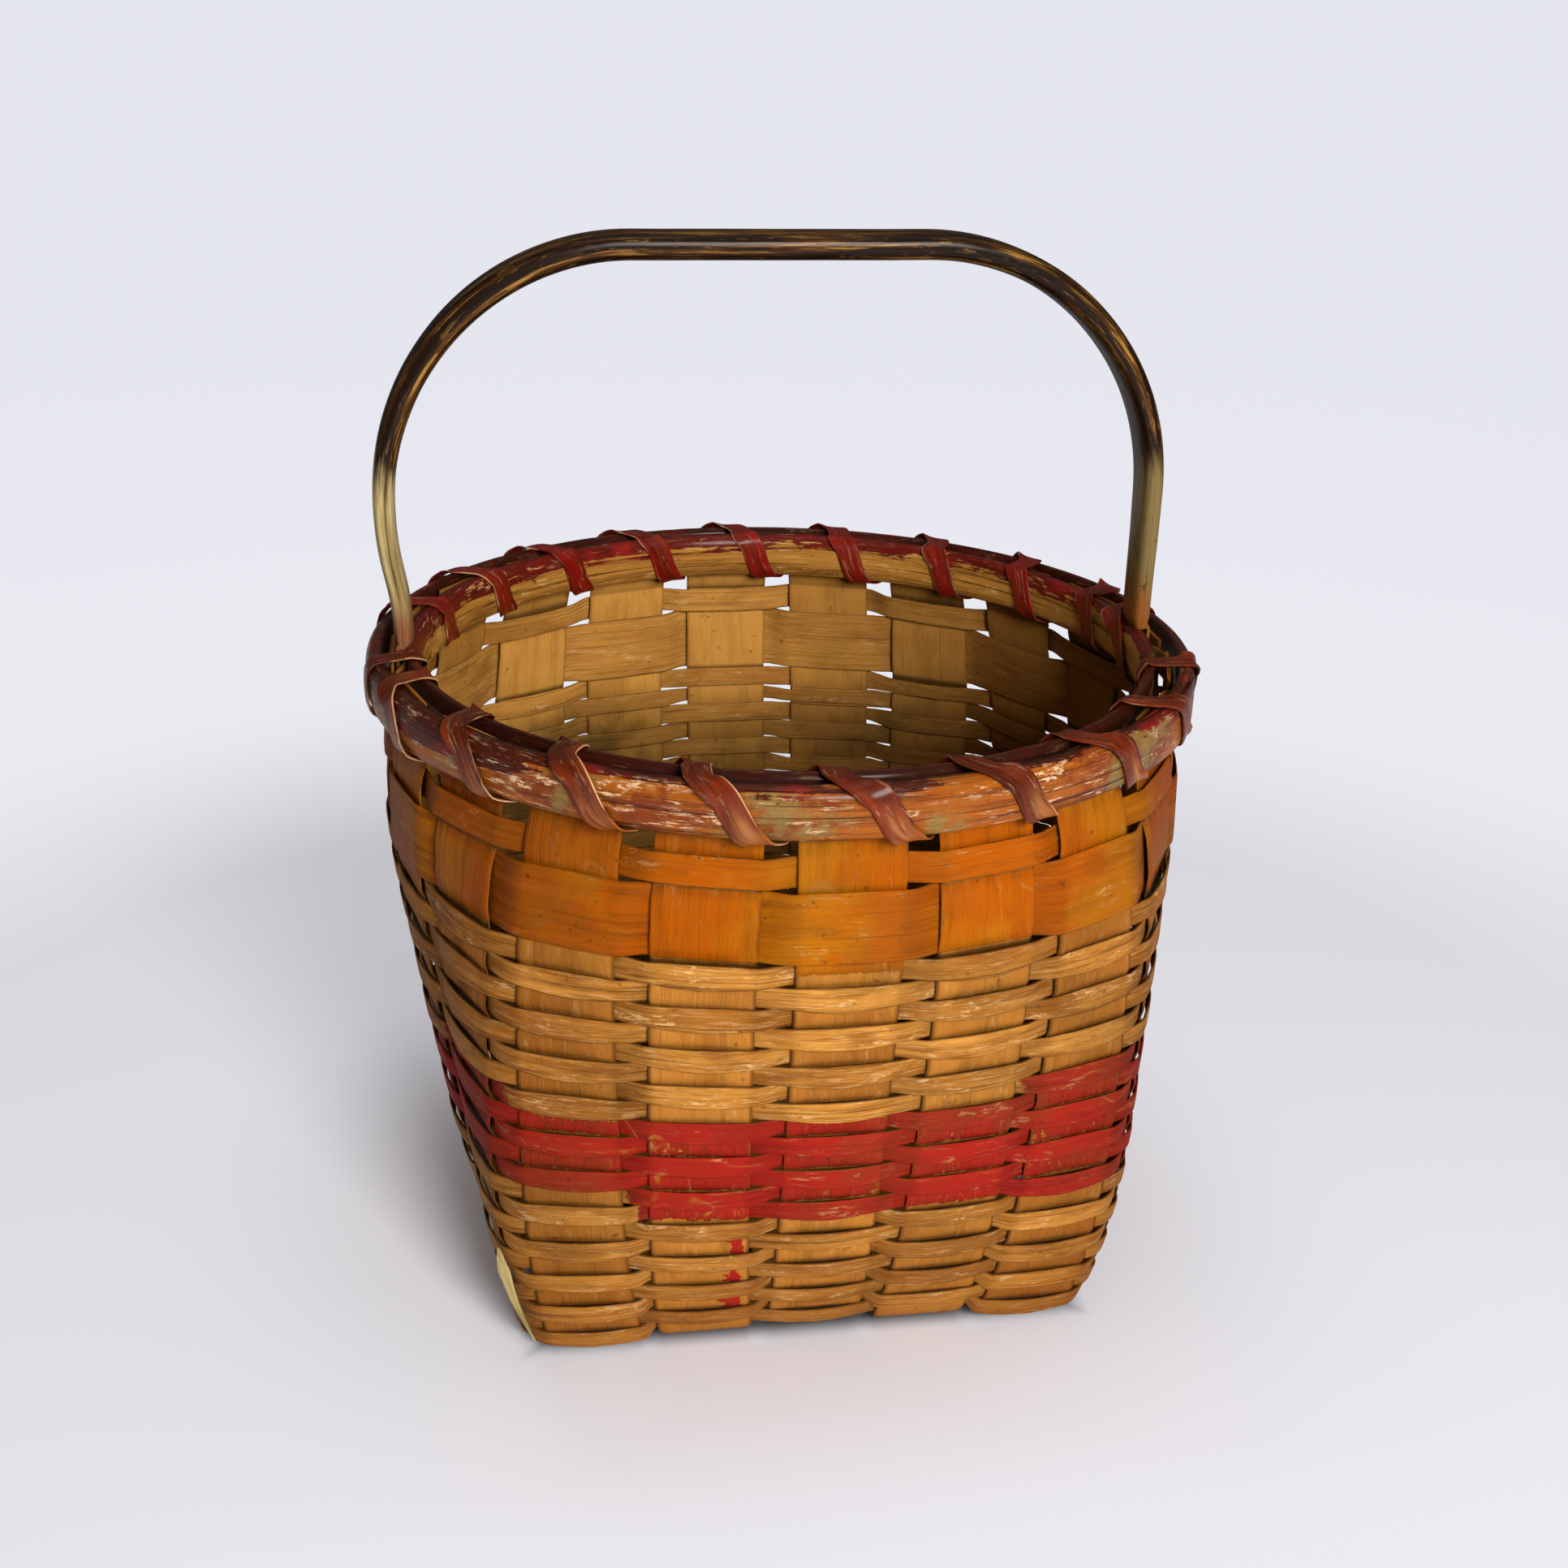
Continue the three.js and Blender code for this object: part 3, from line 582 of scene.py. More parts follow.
class SweepTool:
    """Sweeps an outline along a path with Geometry Nodes, into a plain mesh."""

    PATH_ONLY = ("across", "facing", "half_width", "half_depth", "exposed", "along")
    FRAY_SCALE = 210.0
    SIDE_SHIFT = 7.0
    SEED_STEP = 31.0

    def __init__(self) -> None:
        """Makes the outlines and the tree."""
        self.outlines = {outline: self._outline(outline) for outline in Outline}
        self.tree = self._tree()

    def _outline(self, outline: Outline) -> bpy.types.Object:
        """A closed line of edges in the shape of an outline.

        Args:
            outline: The outline.

        Returns:
            The object that holds the line.
        """
        points = outline.points()
        mesh = bpy.data.meshes.new(outline.value)
        edges = [(i, (i + 1) % len(points)) for i in range(len(points))]
        mesh.from_pydata([(a, f, 0.0) for a, f in points], edges, [])
        return bpy.data.objects.new(outline.value, mesh)

    def _tree(self) -> bpy.types.NodeTree:
        """The tree: it joins path and outline, then puts each point where the path's attributes say.

        Returns:
            The tree.
        """
        tree = bpy.data.node_groups.new("sweep_along_path", "GeometryNodeTree")
        kinds = {"Path": "Geometry", "Outline": "Object", "Ripple": "Float", "Ripple Scale": "Float"}
        kinds |= {"Ragged Edge": "Float", "Seed": "Float", "Finish": "Material"}
        for name, kind in kinds.items():
            tree.interface.new_socket(name, in_out="INPUT", socket_type="NodeSocket" + kind)
        tree.interface.new_socket("Piece", in_out="OUTPUT", socket_type="NodeSocketGeometry")
        desk = NodeDesk(tree)
        given = desk.add("NodeGroupInput").outputs

        def named(name: str, kind: str) -> Socket:
            """One of the path's own attributes."""
            node = desk.add("GeometryNodeInputNamedAttribute", {"Name": name}, data_type=kind)
            return node.outputs["Attribute"]

        def kept(geometry: Socket, name: str) -> tuple[Socket, Socket]:
            """Notes where a geometry's points are before they move.

            Args:
                geometry: The geometry.
                name: The name of the note.

            Returns:
                The geometry with the note, and the noted places.
            """
            node = desk.add("GeometryNodeCaptureAttribute")
            node.capture_items.new("VECTOR", name)
            desk.put(node.inputs["Geometry"], geometry)
            desk.put(node.inputs[name], desk.add("GeometryNodeInputPosition").outputs[0])
            return node.outputs["Geometry"], node.outputs[name]

        shape = desk.add("GeometryNodeObjectInfo", {"Object": given["Outline"]}).outputs["Geometry"]
        loop = desk.add("GeometryNodeMeshToCurve", {"Mesh": shape}).outputs[0]
        loop, spot = kept(loop, "spot")
        line = desk.add("GeometryNodeMeshToCurve", {"Mesh": given["Path"]}).outputs[0]
        line, middle = kept(line, "middle")
        swept = desk.add("GeometryNodeCurveToMesh", {"Curve": line, "Profile Curve": loop, "Fill Caps": True})

        part = desk.parts(spot)
        wave = {"Vector": middle, "W": given["Seed"], "Scale": given["Ripple Scale"], "Detail": 2.0}
        drift = desk.add("ShaderNodeTexNoise", wave, noise_dimensions="4D").outputs[0]
        drift = desk.times(desk.minus(drift, 0.5), given["Ripple"])
        side_seed = desk.plus(given["Seed"], desk.times(part[0], self.SIDE_SHIFT))
        fray = {"Vector": middle, "W": side_seed, "Scale": self.FRAY_SCALE, "Detail": 3.0, "Roughness": 0.65}
        fray_noise = desk.add("ShaderNodeTexNoise", fray, noise_dimensions="4D").outputs[0]
        ragged = desk.times(desk.minus(fray_noise, 0.5), given["Ragged Edge"])
        wide = desk.times(part[0], desk.plus(named("half_width", "FLOAT"), ragged))
        deep = desk.times(part[1], named("half_depth", "FLOAT"))
        sideways = desk.scaled(named("across", "FLOAT_VECTOR"), wide)
        outwards = desk.scaled(named("facing", "FLOAT_VECTOR"), desk.plus(deep, drift))
        place = desk.vector("ADD", middle, desk.vector("ADD", sideways, outwards))
        moved = {"Geometry": swept.outputs[0], "Position": place}
        shaped = desk.add("GeometryNodeSetPosition", moved).outputs[0]

        def store(geometry: Socket, name: str, values: dict[int, Socket]) -> Socket:
            """Writes three values as an attribute of a geometry's points.

            Args:
                geometry: The geometry.
                name: The attribute's name.
                values: Its three values.

            Returns:
                The geometry with the attribute.
            """
            value = desk.add("ShaderNodeCombineXYZ", values).outputs[0]
            wanted = {"Geometry": geometry, "Name": name, "Value": value}
            kind = "GeometryNodeStoreNamedAttribute"
            return desk.add(kind, wanted, data_type="FLOAT_VECTOR", domain="POINT").outputs[0]

        shaped = store(shaped, "grain", {0: named("along", "FLOAT"), 1: wide, 2: deep})
        shaped = store(shaped, "skin", {0: named("exposed", "FLOAT"), 1: part[0], 2: part[1]})
        smooth = desk.add("GeometryNodeSetShadeSmooth", {"Geometry": shaped}).outputs[0]
        plain = desk.add("GeometryNodeRealizeInstances", {"Geometry": smooth}).outputs[0]
        dressed = desk.add("GeometryNodeSetMaterial", {"Geometry": plain, "Material": given["Finish"]})
        desk.add("NodeGroupOutput", {0: dressed.outputs[0]})
        return tree

    def _line(self, name: str, path: Path, tone: float) -> bpy.types.Mesh:
        """A line of edges along a path, in metres, with the path's directions and sizes as attributes.

        Args:
            name: The mesh's name.
            path: The path.
            tone: The piece's tone.

        Returns:
            The mesh.
        """
        count = len(path.points)
        mesh = bpy.data.meshes.new(name)
        mesh.from_pydata((path.points * MM).tolist(), [(i, i + 1) for i in range(count - 1)], [])
        paint = np.stack([path.orange, path.red, np.full(count, tone)], axis=1)
        vectors = {"across": path.across, "facing": path.facing(), "paint": paint}
        numbers = {
            "half_width": path.half_width * MM,
            "half_depth": path.half_depth * MM,
            "exposed": path.exposed,
            "along": path.lengths() * MM,
        }
        for key, values in vectors.items():
            mesh.attributes.new(key, "FLOAT_VECTOR", "POINT").data.foreach_set("vector", values.ravel())
        for key, values in numbers.items():
            mesh.attributes.new(key, "FLOAT", "POINT").data.foreach_set("value", values)
        return mesh

    def piece(
        self,
        name: str,
        path: Path,
        outline: Outline,
        finish: Material,
        tone: float = 0.0,
        ripple: float = 0.0,
        ripple_scale: float = 25.0,
        ragged: float = 0.0,
    ) -> bpy.types.Object:
        """A plain mesh piece swept along a path.

        Args:
            name: The piece's name.
            path: Its middle line.
            outline: The shape that is swept.
            finish: Its material.
            tone: A number that sets this piece's grain apart from its neighbours'.
            ripple: How far its faces wave in and out, in millimetres.
            ripple_scale: Waves of the ripple in a metre.
            ragged: How far its edges wander, in millimetres.

        Returns:
            The piece, at the origin, with its place in its mesh.
        """
        line = bpy.data.objects.new(name + "_line", self._line(name + "_line", path, tone))
        bpy.context.scene.collection.objects.link(line)
        modifier = line.modifiers.new("sweep", "NODES")
        modifier.node_group = self.tree
        wanted = {
            "Outline": self.outlines[outline],
            "Ripple": ripple * MM,
            "Ripple Scale": ripple_scale,
            "Ragged Edge": ragged * MM,
            "Seed": tone * self.SEED_STEP,
            "Finish": finish,
        }
        for item in self.tree.interface.items_tree:
            if item.in_out == "INPUT" and item.name in wanted:
                modifier[item.identifier] = wanted[item.name]
        seen = line.evaluated_get(bpy.context.evaluated_depsgraph_get())
        mesh = bpy.data.meshes.new_from_object(seen)
        line.modifiers.remove(modifier)
        bpy.data.objects.remove(line)
        for key in [a.name for a in mesh.attributes]:
            if key in self.PATH_ONLY:
                mesh.attributes.remove(mesh.attributes[key])
        mesh.name = name
        return self.settled(name, mesh)

    @staticmethod
    def settled(name: str, mesh: bpy.types.Mesh) -> bpy.types.Object:
        """A linked object for a closed mesh, whose faces are turned outwards if they aren't.

        Args:
            name: The piece's name.
            mesh: The mesh.

        Returns:
            The object.
        """
        mesh.calc_loop_triangles()
        count = len(mesh.loop_triangles)
        corners = np.zeros(count * 3, dtype=np.int32)
        mesh.loop_triangles.foreach_get("vertices", corners)
        places = np.zeros(len(mesh.vertices) * 3)
        mesh.vertices.foreach_get("co", places)
        a, b, c = places.reshape(-1, 3)[corners.reshape(-1, 3)].transpose(1, 0, 2)
        if np.sum(a * np.cross(b, c)) < 0:
            mesh.flip_normals()
        piece = bpy.data.objects.new(name, mesh)
        bpy.context.scene.collection.objects.link(piece)
        return piece

    def put_away(self) -> None:
        """Removes the outlines, which no piece needs any more."""
        for outline in self.outlines.values():
            bpy.data.objects.remove(outline)


def keep(piece: bpy.types.Object, slot: str, *nodes: str) -> None:
    """Gives a finished piece to the basket's body, in place of the solids it stands for.

    Args:
        piece: The piece.
        slot: The slot of its finish; not used.
        *nodes: The solids' nodes.
    """
    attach(piece, ROOT)
    if nodes:
        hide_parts(*nodes)
    log.info("%s: %d faces", piece.name, len(piece.data.polygons))


@dataclass(frozen=True)
class Sheen:
    """How a finish shines: its gloss, its roughness by fibre and by wear, and its relief in metres."""

    specular: float = 0.1
    coat: float = 0.16
    coat_roughness: float = 0.2
    rough: float = 0.2
    by_fibre: float = 0.32
    by_wear: float = 0.2
    depth: float = 0.0007
    bump: float = 0.8


class FinishBook:
    """Builds the shared effects once, and gives each finish the sockets that it reads."""

    def __init__(self) -> None:
        """Builds the shared effects."""
        self.grain_group = self._grain_group()
        self.scuff_group = self._scuff_group()
        self.soil_group = self._soil_group()
        self.wear_group = self._wear_group()

    @staticmethod
    def _group(
        name: str, vector: str, numbers: list[str], outputs: list[str]
    ) -> tuple[bpy.types.NodeTree, NodeDesk, dict[str, Socket]]:
        """An empty shader node group with named sockets.

        Args:
            name: The group's name.
            vector: The name of the input that is a vector.
            numbers: Names of the inputs that are numbers.
            outputs: Names of the outputs, which are numbers too.

        Returns:
            The group, a desk for it, and its input sockets by name.
        """
        tree = bpy.data.node_groups.new(name, "ShaderNodeTree")
        tree.interface.new_socket(vector, in_out="INPUT", socket_type="NodeSocketVector")
        for way, keys in {"INPUT": numbers, "OUTPUT": outputs}.items():
            for key in keys:
                tree.interface.new_socket(key, in_out=way, socket_type="NodeSocketFloat")
        desk = NodeDesk(tree)
        return tree, desk, desk.add("NodeGroupInput").outputs

    @staticmethod
    def _stretched(desk: NodeDesk, given: dict[str, Socket]) -> Callable[[float, float], Socket]:
        """A function that scales the grain's coordinates along and across, shifted by the piece's tone.

        Args:
            desk: The desk of the group.
            given: The group's inputs.

        Returns:
            The function.
        """
        tone = given["Tone"]
        shift = desk.add("ShaderNodeCombineXYZ", {0: tone, 1: tone, 2: tone}).outputs[0]
        at = desk.vector("ADD", given["Grain"], shift)

        def scaled(along: float, across: float) -> Socket:
            """The coordinates, scaled along and across the grain."""
            return desk.vector("MULTIPLY", at, (along, across, across))

        return scaled

    def _grain_group(self) -> bpy.types.NodeTree:
        """Wood grain that runs along a piece: streaks, fine lines and fibres, patches, shade and relief.

        Returns:
            The group.
        """
        names = ["Streak", "Line", "Fibre", "Patch", "Shade", "Relief"]
        tree, desk, given = self._group("splint_grain", "Grain", ["Tone"], names)
        at = self._stretched(desk, given)
        streak = desk.noise(at(22.0, 620.0), 1.0, 4.0, 0.6, 0.4)
        line = desk.noise(at(40.0, 1400.0), 1.0, 2.0, 0.5, 0.3)
        fibre = desk.noise(at(130.0, 3200.0), 1.0, 4.0, 0.65, 0.2)
        patch = desk.noise(at(34.0, 120.0), 1.0, 4.0, 0.55, 0.6)
        shade = desk.noise(at(7.0, 7.0), 1.0, 2.0, 0.5)
        relief = desk.plus(desk.times(fibre, 0.55), desk.times(streak, 0.45))
        desk.add("NodeGroupOutput", dict(zip(names, (streak, line, fibre, patch, shade, relief))))
        return tree

    def _scuff_group(self) -> bpy.types.NodeTree:
        """Long marks of use: bare chips, clusters of flecks, dark cracks, and smears of colour.

        Returns:
            The group.
        """
        names = ["Chip", "Fleck", "Crack", "Smear"]
        tree, desk, given = self._group("long_scuffs", "Grain", ["Tone"], names)
        at = self._stretched(desk, given)
        chip = desk.step(desk.noise(at(85.0, 620.0), 1.0, 6.0, 0.72, 0.3), 0.565, 0.64)
        crack = desk.step(desk.noise(at(8.0, 760.0), 1.0, 3.0, 0.55, 0.5), 0.62, 0.68)
        smear = desk.noise(at(13.0, 300.0), 1.0, 5.0, 0.6, 0.6)
        strokes = desk.step(desk.noise(at(230.0, 760.0), 1.0, 4.0, 0.7, 0.4), 0.5, 0.56)
        cluster = desk.step(desk.noise(at(46.0, 130.0), 1.0, 3.0, 0.55, 0.3), 0.58, 0.66)
        fleck = desk.times(strokes, cluster)
        desk.add("NodeGroupOutput", dict(zip(names, (chip, fleck, crack, smear))))
        return tree

    def _soil_group(self) -> bpy.types.NodeTree:
        """Dirt and wear of age: blotches, a darker foot, small specks and hairline scratches.

        Returns:
            The group.
        """
        names = ["Blotch", "Speck", "Foot", "Scratch"]
        tree, desk, given = self._group("age_soil", "Place", [], names)
        height = desk.parts(given["Place"])[2]
        blotch = desk.step(desk.noise(given["Place"], 17.0, 5.0, 0.62), 0.45, 0.68)
        speck = desk.step(desk.noise(given["Place"], 300.0, 2.0, 0.5), 0.68, 0.77)
        foot = desk.step(height, 0.07, 0.0)
        ridge = desk.size(desk.minus(desk.noise(given["Place"], 26.0, 2.0, 0.4), 0.5))
        patch = desk.step(desk.noise(given["Place"], 41.0, 3.0, 0.6), 0.5, 0.6)
        scratch = desk.times(desk.step(ridge, 0.009, 0.003), patch)
        desk.add("NodeGroupOutput", dict(zip(names, (blotch, speck, foot, scratch))))
        return tree

    def _wear_group(self) -> bpy.types.NodeTree:
        """Where brushed paint is left: it thins along the fibres, and chips in patches.

        Returns:
            The group.
        """
        numbers = ["Mask", "Fibre", "Wear"]
        tree, desk, given = self._group("brushed_paint", "Place", numbers, ["Cover", "Thin"])
        patch = desk.noise(given["Place"], 60.0, 5.0, 0.66)
        chip = desk.noise(given["Place"], 480.0, 4.0, 0.62)
        loss = desk.plus(desk.times(patch, 0.6), desk.times(chip, 0.35))
        loss = desk.plus(loss, desk.times(given["Fibre"], 0.3))
        loss = desk.minus(loss, 0.6)
        left = desk.minus(given["Mask"], desk.times(loss, given["Wear"]))
        cover = desk.step(left, 0.46, 0.54)
        thin = desk.step(left, 0.55, 0.95)
        desk.add("NodeGroupOutput", {"Cover": cover, "Thin": thin})
        return tree

    @staticmethod
    def material(name: str, sheen: Sheen) -> tuple[Material, NodeDesk, bpy.types.Node]:
        """A new material with a given sheen and gloss coat.

        Args:
            name: The material's name.
            sheen: Its sheen.

        Returns:
            The material, a desk for its nodes, and its shader.
        """
        made = bpy.data.materials.new(name)
        desk = NodeDesk.fresh(made)
        gloss = {"Specular IOR Level": sheen.specular, "Coat Weight": sheen.coat}
        shader = desk.add("ShaderNodeBsdfPrincipled", gloss | {"Coat Roughness": sheen.coat_roughness})
        desk.add("ShaderNodeOutputMaterial", {"Surface": shader.outputs[0]})
        return made, desk, shader

    def surface(self, desk: NodeDesk) -> dict[str, Socket]:
        """What a finish reads of the piece that it is on.

        Args:
            desk: The desk of the finish's material.

        Returns:
            Sockets by name: the grain, scuffs and soil, how far the outer face is Shown, the place Across
            the piece and Out of its face, its Orange and Red paint, and its coordinates X, Y and Z.
        """
        place = desk.add("ShaderNodeTexCoord").outputs["Object"]
        grain = desk.attribute("grain").outputs["Vector"]
        skin = desk.parts(desk.attribute("skin").outputs["Vector"])
        paint = desk.parts(desk.attribute("paint").outputs["Vector"])
        spot = desk.parts(place)
        found = {"Place": place, "Grain": grain, "Shown": skin[0], "Across": skin[1], "Out": skin[2]}
        found |= {"Orange": paint[0], "Red": paint[1], "X": spot[0], "Y": spot[1], "Z": spot[2]}
        for group in (self.grain_group, self.scuff_group):
            found |= desk.group(group, {"Grain": grain, "Tone": paint[2]})
        return found | desk.group(self.soil_group, {"Place": place})

    def worn(
        self, desk: NodeDesk, on: dict[str, Socket], mask: Socket | float, wear: float
    ) -> dict[str, Socket]:
        """What is left of a coat of paint: where it covers, and where it is thin."""
        values = {"Mask": mask, "Place": on["Place"], "Fibre": on["Fibre"], "Wear": wear}
        return desk.group(self.wear_group, values)

    @staticmethod
    def settle(
        sheen: Sheen, desk: NodeDesk, shader: bpy.types.Node,
        base: Socket, fibre: Socket, wear: Socket, height: Socket,
    ) -> None:
        """Gives a shader its colour, roughness and relief.

        Args:
            sheen: The finish's sheen.
            desk: The desk of the finish's material.
            shader: The material's shader.
            base: The colour.
            fibre: The fibres of the wood.
            wear: Where the surface is worn.
            height: The relief.
        """
        rough = desk.plus(sheen.rough, desk.times(fibre, sheen.by_fibre))
        rough = desk.plus(rough, desk.times(wear, sheen.by_wear))
        bump = desk.add("ShaderNodeBump", {"Height": height, "Distance": sheen.depth, "Strength": sheen.bump})
        for key, value in {"Base Color": base, "Roughness": rough, "Normal": bump.outputs[0]}.items():
            desk.put(shader.inputs[key], value)


@dataclass(frozen=True)
class SplintFinish:
    """Ash splint with age: its woods, the brushed paint on its outer face, and painted shade in its crevices,
    along its edges, on the side walls and inside.
    """

    name: str
    wood: str = "#c98a38"
    inside_wood: str = "#cc9344"
    dark_wood: str = "#834a14"
    pale_wood: str = "#efc78a"
    deep: str = "#3a1e0a"
    crevice_shade: str = "#1e0f05"
    stain: str = "#4f431c"
    damp_and_shade: str = "#2a1d07"
    painted_shade_wood: str = "#3c1605"
    side_shade_tint: str = "#a2805a"
    rubbed_in: str = "#6a4426"
    orange: str = "#a95200"
    orange_gold: str = "#ae6706"
    orange_thin: str = "#8f5008"
    orange_smear: str = "#713a04"
    red: str = "#a32217"
    red_thin: str = "#8a2216"
    red_smear: str = "#7c1a14"
    wear: float = 0.62
    red_wear: float = 1.0
    crack: float = 0.5
    streak: float = 0.55
    patch: float = 0.75
    fibre: float = 0.5
    fleck: float = 0.6
    line: float = 0.55
    crossing_dirt: float = 0.26
    side_shade: float = 0.5
    inside_calm: float = 0.45
    has_drip: bool = False
    drip_left: float = -0.0335
    drip_right: float = -0.0275
    drip_front: float = -0.09
    drip_low: float = 0.018
    drip_high: float = 0.06
    sheen: Sheen = Sheen(specular=0.045, coat=0.0, rough=0.44, by_fibre=0.26, by_wear=-0.14)

    def _drip(self, desk: NodeDesk, on: dict[str, Socket]) -> Socket:
        """A run of red paint down one stake at the front.

        Args:
            desk: The desk of the finish's material.
            on: What the finish reads of the piece.

        Returns:
            Where the run is.
        """
        edge, reach = 0.0005, 0.014
        waves = [desk.minus(desk.noise(on["Place"], scale), 0.5) for scale in (190.0, 130.0)]
        left, right = (desk.plus(on["X"], desk.times(wave, reach)) for wave in waves)
        beside = desk.times(
            desk.step(left, self.drip_left - edge, self.drip_left + edge),
            desk.step(right, self.drip_right + edge, self.drip_right - edge),
        )
        level = desk.times(
            desk.step(on["Z"], self.drip_low - edge, self.drip_low + edge),
            desk.step(on["Z"], self.drip_high + edge, self.drip_high - edge),
        )
        front = desk.step(on["Y"], self.drip_front, self.drip_front - edge)
        return desk.times(desk.times(beside, level), front)

    def _bare(self, desk: NodeDesk, on: dict[str, Socket], outer: Socket) -> Socket:
        """The colour of the bare splint, with its dirt, and with painted shade: partly along its edges and
        low on the inside, and on the inside of the right wall.

        Args:
            desk: The desk of the finish's material.
            on: What the finish reads of the piece.
            outer: Where the outer face is.

        Returns:
            The colour.
        """
        inner = desk.minus(1.0, outer)
        lively = desk.minus(1.0, desk.times(inner, self.inside_calm))

        def tinted(colour: Socket, share: Socket, code: str) -> Socket:
            """A colour blended with another, less so on the inner face."""
            return desk.blend(desk.times(share, lively), colour, code)

        base = desk.blend(outer, self.inside_wood, self.wood)
        base = tinted(base, desk.step(on["Shade"], 0.36, 0.66, end=0.7), self.dark_wood)
        base = tinted(base, desk.step(on["Patch"], 0.44, 0.7, end=self.patch), self.dark_wood)
        base = tinted(base, desk.step(on["Streak"], 0.45, 0.72, end=self.streak), self.dark_wood)
        base = tinted(base, desk.step(on["Line"], 0.54, 0.66, end=self.line), self.dark_wood)
        base = tinted(base, desk.step(on["Fibre"], 0.52, 0.74, end=self.fibre), self.pale_wood)
        marks = desk.most(desk.times(on["Chip"], 0.5), on["Fleck"])
        base = tinted(base, desk.times(marks, self.fleck), self.pale_wood)
        base = tinted(base, desk.times(on["Crack"], self.crack), self.deep)
        # Darker along both edges: partly stained cut edges, partly painted shade in the gaps between splints.
        edge = desk.step(desk.size(on["Across"]), 0.9, 1.0, end=0.7)
        base = tinted(base, edge, self.deep)
        # Darker low on the inside walls: partly a damp stain, partly painted shade of the lower inside.
        low = desk.step(on["Z"], 0.178, 0.14, end=0.82)
        low = desk.times(low, desk.step(on["Z"], 0.015, 0.06))
        damp_and_shade_mask = desk.times(low, desk.step(on["Blotch"], 0.0, 1.0, start=0.7))
        base = desk.blend(desk.times(damp_and_shade_mask, inner), base, self.damp_and_shade)
        # Painted shade: the inner faces of the right wall are darkened towards a dark brown.
        inside_right_shade = desk.times(inner, desk.step(on["X"], 0.0, 0.12, end=0.5))
        base = desk.blend(inside_right_shade, base, self.painted_shade_wood)
        base = desk.blend(desk.times(on["Blotch"], 0.25), base, self.stain)
        base = desk.blend(desk.times(on["Foot"], 0.35), base, self.dark_wood)
        return desk.blend(desk.times(on["Speck"], 0.5), base, self.deep)

    def build(self, book: FinishBook) -> Material:
        """The material, from the shared effects.

        Args:
            book: The shared effects.

        Returns:
            The material.
        """
        made, desk, shader = book.material(self.name, self.sheen)
        on = book.surface(desk)
        outer = desk.step(on["Out"], -0.4, 0.4)
        base = self._bare(desk, on, outer)
        coat = desk.times(desk.step(on["Out"], -0.7, 0.1), desk.step(on["Shown"], 0.15, 0.5))

        def coated(
            colour: Socket, mask: Socket, wear: float, full: Socket | str, thin: str, smear: str
        ) -> tuple[Socket, Socket]:
            """A coat of worn paint over a colour.

            Args:
                colour: The colour under the paint.
                mask: Where the brush went.
                wear: How worn the paint is.
                full: The paint's colour where it is thick.
                thin: Its colour where it is thin.
                smear: Its colour where it is smeared.

            Returns:
                The painted colour, and where the paint covers.
            """
            left = book.worn(desk, on, desk.times(mask, coat), wear)
            shade = desk.blend(left["Thin"], thin, full)
            shade = desk.blend(desk.step(on["Smear"], 0.48, 0.8, end=0.4), shade, smear)
            shade = desk.blend(desk.step(on["Fibre"], 0.5, 0.75, end=0.45), shade, smear)
            shade = desk.blend(desk.step(on["Patch"], 0.5, 0.75, end=0.35), shade, smear)
            shade = desk.blend(desk.times(on["Crack"], self.crack * 0.3), shade, self.deep)
            shade = desk.blend(desk.times(on["Blotch"], 0.3), shade, self.stain)
            shade = desk.blend(desk.times(on["Speck"], 0.5), shade, self.deep)
            edge = desk.step(desk.size(on["Across"]), 0.93, 0.99)
            scraped = desk.times(edge, desk.step(on["Patch"], 0.5, 0.62, end=0.7))
            for mark, share in {"Chip": 0.15, "Fleck": 0.35, "Scratch": 0.6}.items():
                scraped = desk.most(scraped, desk.times(on[mark], share))
            cover = desk.times(left["Cover"], desk.minus(1.0, scraped))
            return desk.blend(cover, colour, shade), cover

        red_mask = on["Red"]
        if self.has_drip:
            reached = desk.step(on["Shown"], 0.4, 0.95, start=0.7)
            red_mask = desk.most(desk.times(red_mask, reached), self._drip(desk, on))
        golden = desk.step(desk.noise(on["Place"], 22.0, 4.0, 0.6), 0.42, 0.6)
        orange_coat = desk.blend(golden, self.orange, self.orange_gold)
        base, orange = coated(base, on["Orange"], self.wear, orange_coat, self.orange_thin, self.orange_smear)
        base, red = coated(base, red_mask, self.red_wear, self.red, self.red_thin, self.red_smear)
        # Painted shade: the outer faces of the side walls are darkened, broken up by smears.
        side_shade_mask = desk.step(desk.size(on["X"]), 0.05, 0.14, end=self.side_shade)
        side_shade_mask = desk.times(side_shade_mask, outer)
        side_shade_mask = desk.times(side_shade_mask, desk.step(on["Smear"], 0.3, 0.6, start=0.5))
        base = desk.blend(side_shade_mask, base, desk.blend(1.0, base, self.side_shade_tint, "MULTIPLY"))
        beside = desk.times(desk.step(on["Shown"], 1.0, 0.6, end=self.crossing_dirt), outer)
        beside = desk.times(beside, desk.step(on["Smear"], 0.38, 0.58, start=0.45))
        base = desk.blend(beside, base, desk.blend(1.0, base, self.rubbed_in, "MULTIPLY"))
        # Painted shade: faces are darkened where they tuck behind a crossing splint.
        hidden_out = desk.times(outer, desk.minus(1.0, on["Shown"]))
        hidden_in = desk.times(desk.minus(1.0, outer), on["Shown"])
        tucked_shade = desk.step(desk.plus(hidden_out, hidden_in), 0.55, 0.95, end=0.8)
        base = desk.blend(tucked_shade, base, self.crevice_shade)
        paint = desk.most(orange, red)
        height = desk.plus(on["Relief"], desk.times(paint, 0.2))
        height = desk.minus(height, desk.times(on["Crack"], 0.25))
        book.settle(self.sheen, desk, shader, base, on["Fibre"], orange, height)
        return made


